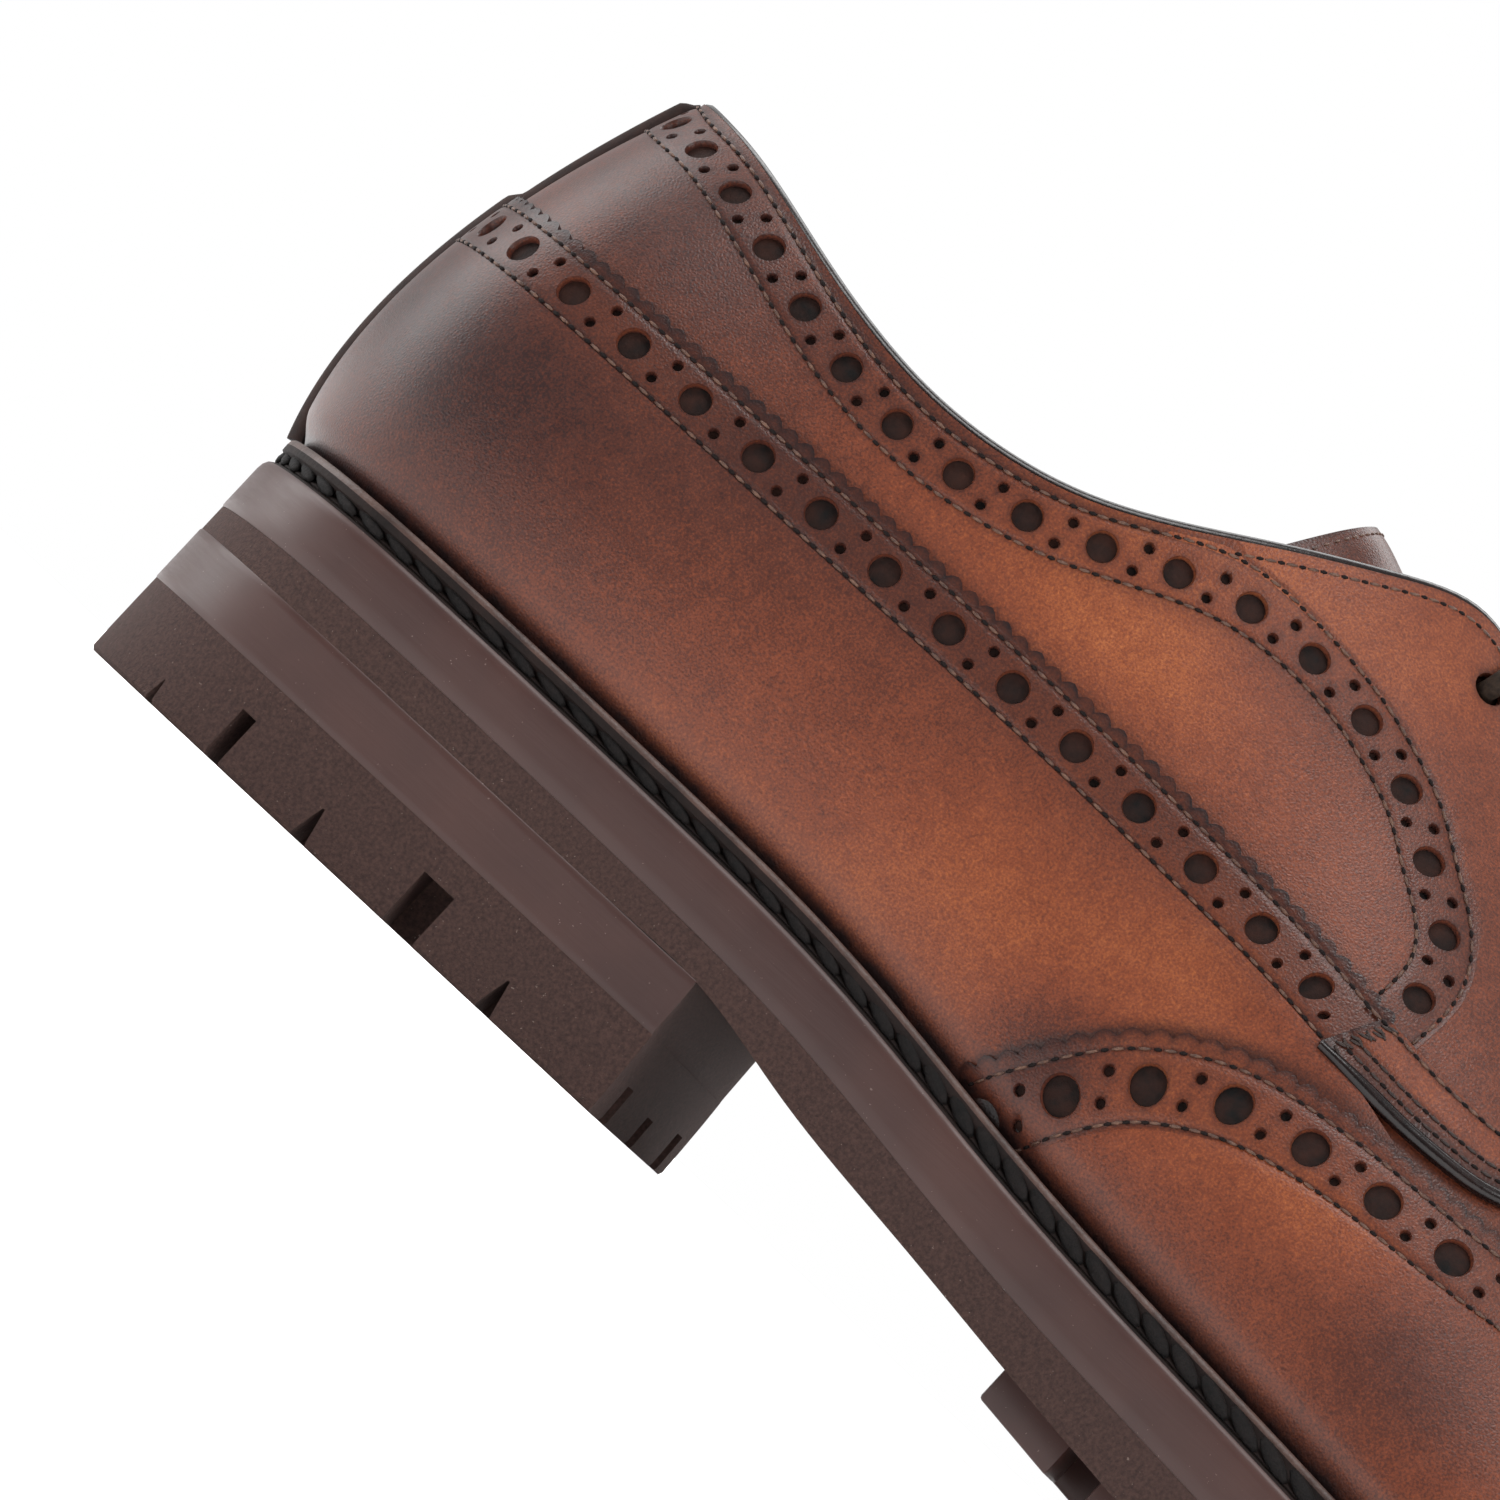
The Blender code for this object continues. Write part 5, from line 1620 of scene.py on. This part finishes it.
def heel_row(inset, front, height):
    """One level of the heel: round the back, then straight across the breast."""
    end = float(angle_of(HEEL_FRONT))
    phi = np.linspace(-end, end, 101)
    xy = edge_in(phi, np.full(len(phi), inset))
    xy[0, 0] = front
    xy[-1, 0] = front
    breast = xy[-1] + (xy[0] - xy[-1]) * np.linspace(0.0, 1.0, 13)[1:, None]
    xy = np.concatenate([xy, breast])
    return np.column_stack([xy, np.full(len(xy), height)])


def heel_block(name, levels, finishes, stands_for=(), cutter=None):
    """A closed block through the given levels. Its breast takes the last finish."""
    bm = grid_on([heel_row(*level) for level in levels])
    bmesh.ops.remove_doubles(bm, verts=bm.verts[:], dist=WELD)
    bmesh.ops.holes_fill(bm, edges=[e for e in bm.edges if e.is_boundary], sides=0)
    bmesh.ops.recalc_face_normals(bm, faces=bm.faces[:])
    if cutter:
        bm = cut(as_object(bm, name + "_block"), cutter)
    for f in bm.faces:
        if f.calc_center_median().x > (HEEL_FRONT - AXIS_S - 0.4) * MM:
            f.material_index = len(finishes) - 1
    finish_piece(bm, name, finishes, stands_for, 35.0)


def notch_cutter():
    """All the notches and channels of the heel's foot as one cutter of boxes and wedges."""
    bm = bmesh.new()
    for s, length, height, wedge in NOTCHES:
        for phi in (float(angle_of(s)), -float(angle_of(s))):
            spot = plan_point(np.array([phi]))[0]
            out = plan_out(np.array([phi]))[0]
            run = np.array([-out[1], out[0]])
            made = bmesh.ops.create_cube(bm, size=1.0)
            for v in made["verts"]:
                width = length * (0.12 if wedge and v.co.z > 0.0 else 1.0)
                xy = spot + run * (v.co.x * width) + out * (8.0 if v.co.y > 0.0 else -7.0)
                v.co = place((xy[0], xy[1], height if v.co.z > 0.0 else -0.5))
    for s0, s1, y0, y1, depth in CHANNELS:
        made = bmesh.ops.create_cube(bm, size=1.0)
        for v in made["verts"]:
            v.co = place((s0 if v.co.x < 0.0 else s1, y0 if v.co.y < 0.0 else y1,
                          depth if v.co.z > 0.0 else -5.0))
    bmesh.ops.recalc_face_normals(bm, faces=bm.faces[:])
    return as_object(bm, "notches")


heel_block("heel_band", [(0.12, HEEL_FRONT, HEEL_TOP), (0.0, HEEL_FRONT + 0.2, HEEL_TOP - 0.2),
                         (0.0, HEEL_FRONT + 0.3, HEEL_TOP - 1.0), (0.0, HEEL_FRONT + 0.5, LIFT_TOP + 0.9),
                         (0.0, HEEL_FRONT + 0.55, LIFT_TOP + 0.2), (0.12, HEEL_FRONT + 0.6, LIFT_TOP)],
           [RUBBER, ROUGH_RUBBER], ["heel"])
heel_block("heel_lift", [(0.1, HEEL_FRONT + 0.6, LIFT_TOP + 0.02), (0.08, HEEL_FRONT + 0.8, 8.0),
                         (0.08, HEEL_FRONT + 1.0, 4.0), (0.1, HEEL_FRONT + 1.15, 0.5),
                         (0.5, HEEL_FRONT + 1.0, 0.0)], [ROUGH_RUBBER], (), notch_cutter())

# %% [markdown]
# ## Inside and lacing
# The insole and the tongue show from above. The tongue follows the inside of the lining and bends
# back at its tip. A few rows of seven points set its shape, and smooth curves through them give the
# rest. Its end is cut in a bow and stitched along the edge.

# %% Insole and tongue
plate("insole_board", lambda phi: margin_at(station(phi)) + WALL + 0.6, lambda s: sole_top(s) + GAP,
      lambda s: sole_top(s) + GAP + 3.5, [LINING], ["insole"])
TONGUE = [(180, 14), (170, 14), (160, 12.5), (150, 11.5), (140, 10.5), (130, 9.5), (119, 8)]
TIP = [(107.8, 105.0, 13.8, 0.044, 1.0), (101.4, 106.8, 13.6, 0.056, 3.0), (97.8, 107.9, 13.2, 0.068, 6.0)]
TONGUE_THICK = 1.8
ACROSS = np.array([-1.0, -0.66, -0.33, 0.0, 0.33, 0.66, 1.0])
TONGUE_ROWS = 60
TONGUE_COLUMNS = 28
TONGUE_LOOP = (0.5, 0.2, 0.22)


def tongue_row(k, low):
    """Seven points across the tongue at one row, on its upper or lower face."""
    if k < len(TONGUE):
        s, reach = TONGUE[k]
        sink = WALL + 0.9 + (TONGUE_THICK if low else 0.0)
        phi = float(angle_of(s))
        halves = []
        for side in (1.0, -1.0):
            spots = np.array([share_below(side * phi, reach * f) for f in (1.0, 0.55, 0.1)])
            halves.append(skin(np.full(3, side * phi), spots, -sink))
        middle = 0.5 * (halves[0][-1] + halves[1][-1]) + np.array([0.0, 0.0, 0.4])
        return np.concatenate([halves[0], [middle], halves[1][::-1]])
    s, height, half, bend, sweep = TIP[k - len(TONGUE)]
    y = half * ACROSS
    row = np.column_stack([s - sweep * ACROSS ** 2, top_centre(s) + y, height - bend * y * y])
    return row - np.array([0.4, 0.0, TONGUE_THICK]) * (1.0 if low else 0.0)


def tongue_face(low):
    """One face of the tongue as a function of the way across and the way up, both from 0 to 1."""
    knots = np.array([tongue_row(k, low) for k in range(len(TONGUE) + len(TIP))])
    up = np.linspace(0.0, 1.0, TONGUE_ROWS + 1)
    rows = np.array([[through(np.linspace(0.0, 1.0, len(knots)), knots[:, j, i])(up) for i in range(3)]
                     for j in range(len(ACROSS))])
    over = np.linspace(-1.0, 1.0, TONGUE_COLUMNS + 1)
    return np.array([[through(ACROSS, rows[:, i, k])(over) for i in range(3)]
                     for k in range(TONGUE_ROWS + 1)])


def tongue_piece():
    """Makes the tongue and gives back its upper face, for the stitches."""
    faces = {low: tongue_face(low) for low in (False, True)}
    bm = flat_sheet(TONGUE_COLUMNS, TONGUE_ROWS)
    flat = flat_places(bm)
    points = np.array([faces[z < 0.5][round(y * TONGUE_ROWS), :, round(x * TONGUE_COLUMNS)]
                       for x, y, z in flat])
    dark = 0.3 + 0.5 * np.exp(-(1.0 - flat[:, 1]) / 0.012)
    settle(bm, points, np.full(len(flat), 0.34), dark)
    finish_piece(bm, "tongue_leather", [CALF], ["tongue"])
    return faces[False]


tongue_top = tongue_piece()
edge = tongue_top[TONGUE_ROWS - 2].T
back_row = tongue_top[TONGUE_ROWS - 3].T
tongue_seam = []
for k in range(1, TONGUE_COLUMNS - 1):
    run = unit(edge[k + 1] - edge[k])
    off = unit(np.cross(run, back_row[k] - edge[k]))
    tongue_seam.append((edge[k] + off * 0.05, run, off))
thread_piece("tongue_stitches", tongue_seam, TONGUE_LOOP, THREAD)

# %% [markdown]
# ## Lace
# The lace crosses the throat in straight bars. Each bar comes up through one eyelet, crosses, and
# goes down through the other, and the hidden ends stop under the eyelets.

# %% Lace bars
LACE_R = 1.25
LACE_OFF = 1.1
LACE_SHARES = np.array([0.0, 0.0, 0.02, 0.10, 0.3, 0.6, 1.0])
LACE_LIFTS = np.array([-1.2, 0.9, 2.0, 2.5, 2.6, 2.6, 2.6])
for k, s in enumerate(EYELETS):
    phi = float(angle_of(s))
    t = share_below(phi, EYELET_INSET)
    halves = []
    for side in (1.0, -1.0):
        shares = t + (0.99 - t) * LACE_SHARES
        lifts = LACE_LIFTS + LACE_OFF * (flap_ply(s) - 1.2)
        halves.append(skin(side * phi, shares, lifts))
    path = np.concatenate([halves[0], halves[1][::-1]])
    q = run_along(path)
    print("lace bar", k + 1, "is", round(float(q[-1]), 1), "mm long")
    fine = np.linspace(0.0, q[-1], 60)
    path = np.column_stack([np.interp(fine, q, path[:, i]) for i in range(3)])
    for _ in range(3):
        path[1:-1] = 0.25 * path[:-2] + 0.5 * path[1:-1] + 0.25 * path[2:]
    bead("lace_%d" % (k + 1), path, LACE_R, LACE, ["lace_bar_%d" % (k + 1)])

# %% [markdown]
# ## Back strip
# A narrow raised strip covers the seam at the back, from the welt to the topline. It stands further
# out over the counter and its strip, and flattens at its top.

# %% Back strip
STRIP_HALF = 0.024


def back_strip():
    bm = flat_sheet(8, 90)
    flat = flat_places(bm)
    t = 0.07 + 0.925 * flat[:, 1]
    phi = STRIP_HALF * (2.0 * flat[:, 0] - 1.0)
    z = outer_face(phi, t)[:, 2]
    over = 0.5 + 0.85 * (1.0 - ease(69.0, 71.0, z))
    crown = 1.6 * (1.0 - (2.0 * flat[:, 0] - 1.0) ** 2) * (1.0 - 0.8 * ease(0.965, 1.0, flat[:, 1]))
    points = skin(phi, t, over + crown * flat[:, 2] - 0.5 * (1.0 - flat[:, 2]))
    settle(bm, points)
    finish_piece(bm, "back_seam_strip", [SEAM_TAPE], ["back_strip"])


back_strip()

# %% [markdown]
# ## Floor and light
# The photograph was taken in a light tent: white below and behind, long lights high above the shoe
# and nothing bright beside the camera. The leather so keeps its full colour on the walls, and only
# the places that lean to the floor or to the sky carry a pale sheen. Far away the floor glows as
# white as the surround, so that no horizon shows.

# %% Floor and light
def floor():
    finish, tree, shader = new_finish("pale_floor")
    shader.inputs["Base Color"].default_value = (0.9, 0.9, 0.9, 1.0)
    shader.inputs["Roughness"].default_value = 0.9
    shader.inputs["Specular IOR Level"].default_value = 0.1
    where = add(tree, "ShaderNodeTexCoord").outputs["Object"]
    far = add(tree, "ShaderNodeVectorMath", {0: where}, operation="LENGTH").outputs["Value"]
    glow = add(tree, "ShaderNodeMapRange", {"Value": far, "From Min": 0.3, "From Max": 1.6, "To Min": 0.33,
                                            "To Max": 1.0}).outputs["Result"]
    seen = maths(tree, "MULTIPLY", add(tree, "ShaderNodeLightPath").outputs["Is Camera Ray"], 0.6)
    tree.links.new(maths(tree, "ADD", glow, seen), shader.inputs["Emission Color"])
    shader.inputs["Emission Strength"].default_value = 1.0
    bm = bmesh.new()
    bmesh.ops.create_circle(bm, cap_ends=True, segments=64, radius=8.0)
    ob = as_object(bm, "floor")
    ob.data.materials.append(finish)
    ob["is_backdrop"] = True


def softbox(name, where, aim, size, power):
    lamp = bpy.data.lights.new(name, "AREA")
    lamp.shape = "RECTANGLE"
    lamp.size, lamp.size_y = size
    lamp.energy = power
    ob = bpy.data.objects.new(name, lamp)
    ob.location = where
    ob.rotation_euler = (Vector(aim) - Vector(where)).to_track_quat("-Z", "Y").to_euler()
    bpy.context.collection.objects.link(ob)


def surround():
    """White to the camera, and to the shoe a tent that is dim beside the camera and pale behind."""
    world = bpy.context.scene.world or bpy.data.worlds.new("surround")
    bpy.context.scene.world = world
    world.use_nodes = True
    tree = world.node_tree
    back_light = tree.nodes["Background"]
    way = add(tree, "ShaderNodeSeparateXYZ", {"Vector": add(tree, "ShaderNodeTexCoord").outputs["Generated"]})
    behind = maths(tree, "MULTIPLY", maths(tree, "ADD", way.outputs["Y"], 0.2), 0.45, True)
    above = maths(tree, "MULTIPLY", maths(tree, "MAXIMUM", way.outputs["Z"], 0.0), 0.3)
    tent = maths(tree, "ADD", maths(tree, "ADD", behind, above), 0.05)
    seen = add(tree, "ShaderNodeLightPath").outputs["Is Camera Ray"]
    tree.links.new(maths(tree, "MAXIMUM", seen, tent), back_light.inputs["Strength"])
    back_light.inputs["Color"].default_value = (1.0, 1.0, 1.0, 1.0)


floor()
surround()
bpy.context.scene.view_settings.view_transform = "Standard"
softbox("toe_strip", (0.8, -0.7, 0.95), (0.0, 0.0, 0.05), (1.2, 0.7), 10.0)
softbox("heel_strip", (-0.55, -0.6, 1.45), (-0.05, 0.0, 0.05), (0.8, 0.5), 9.0)
softbox("rear_strip", (-0.2, 0.8, 1.15), (0.0, 0.0, 0.05), (1.6, 0.6), 9.0)
softbox("heel_light", (-1.2, 0.2, 0.45), (-0.1, 0.0, 0.05), (0.7, 0.9), 6.5)
print("stage ready")

# %% [markdown]
# ## Boxes
# The box of the solids and the box of the dressed model are gathered side by side. The dressed
# model has to stay in the box of the solids.

# %% Sizes and finish
size = {"cad": [list(map(float, corner)) for corner in cad_box],
        "visual": [list(map(float, corner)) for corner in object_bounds()]}
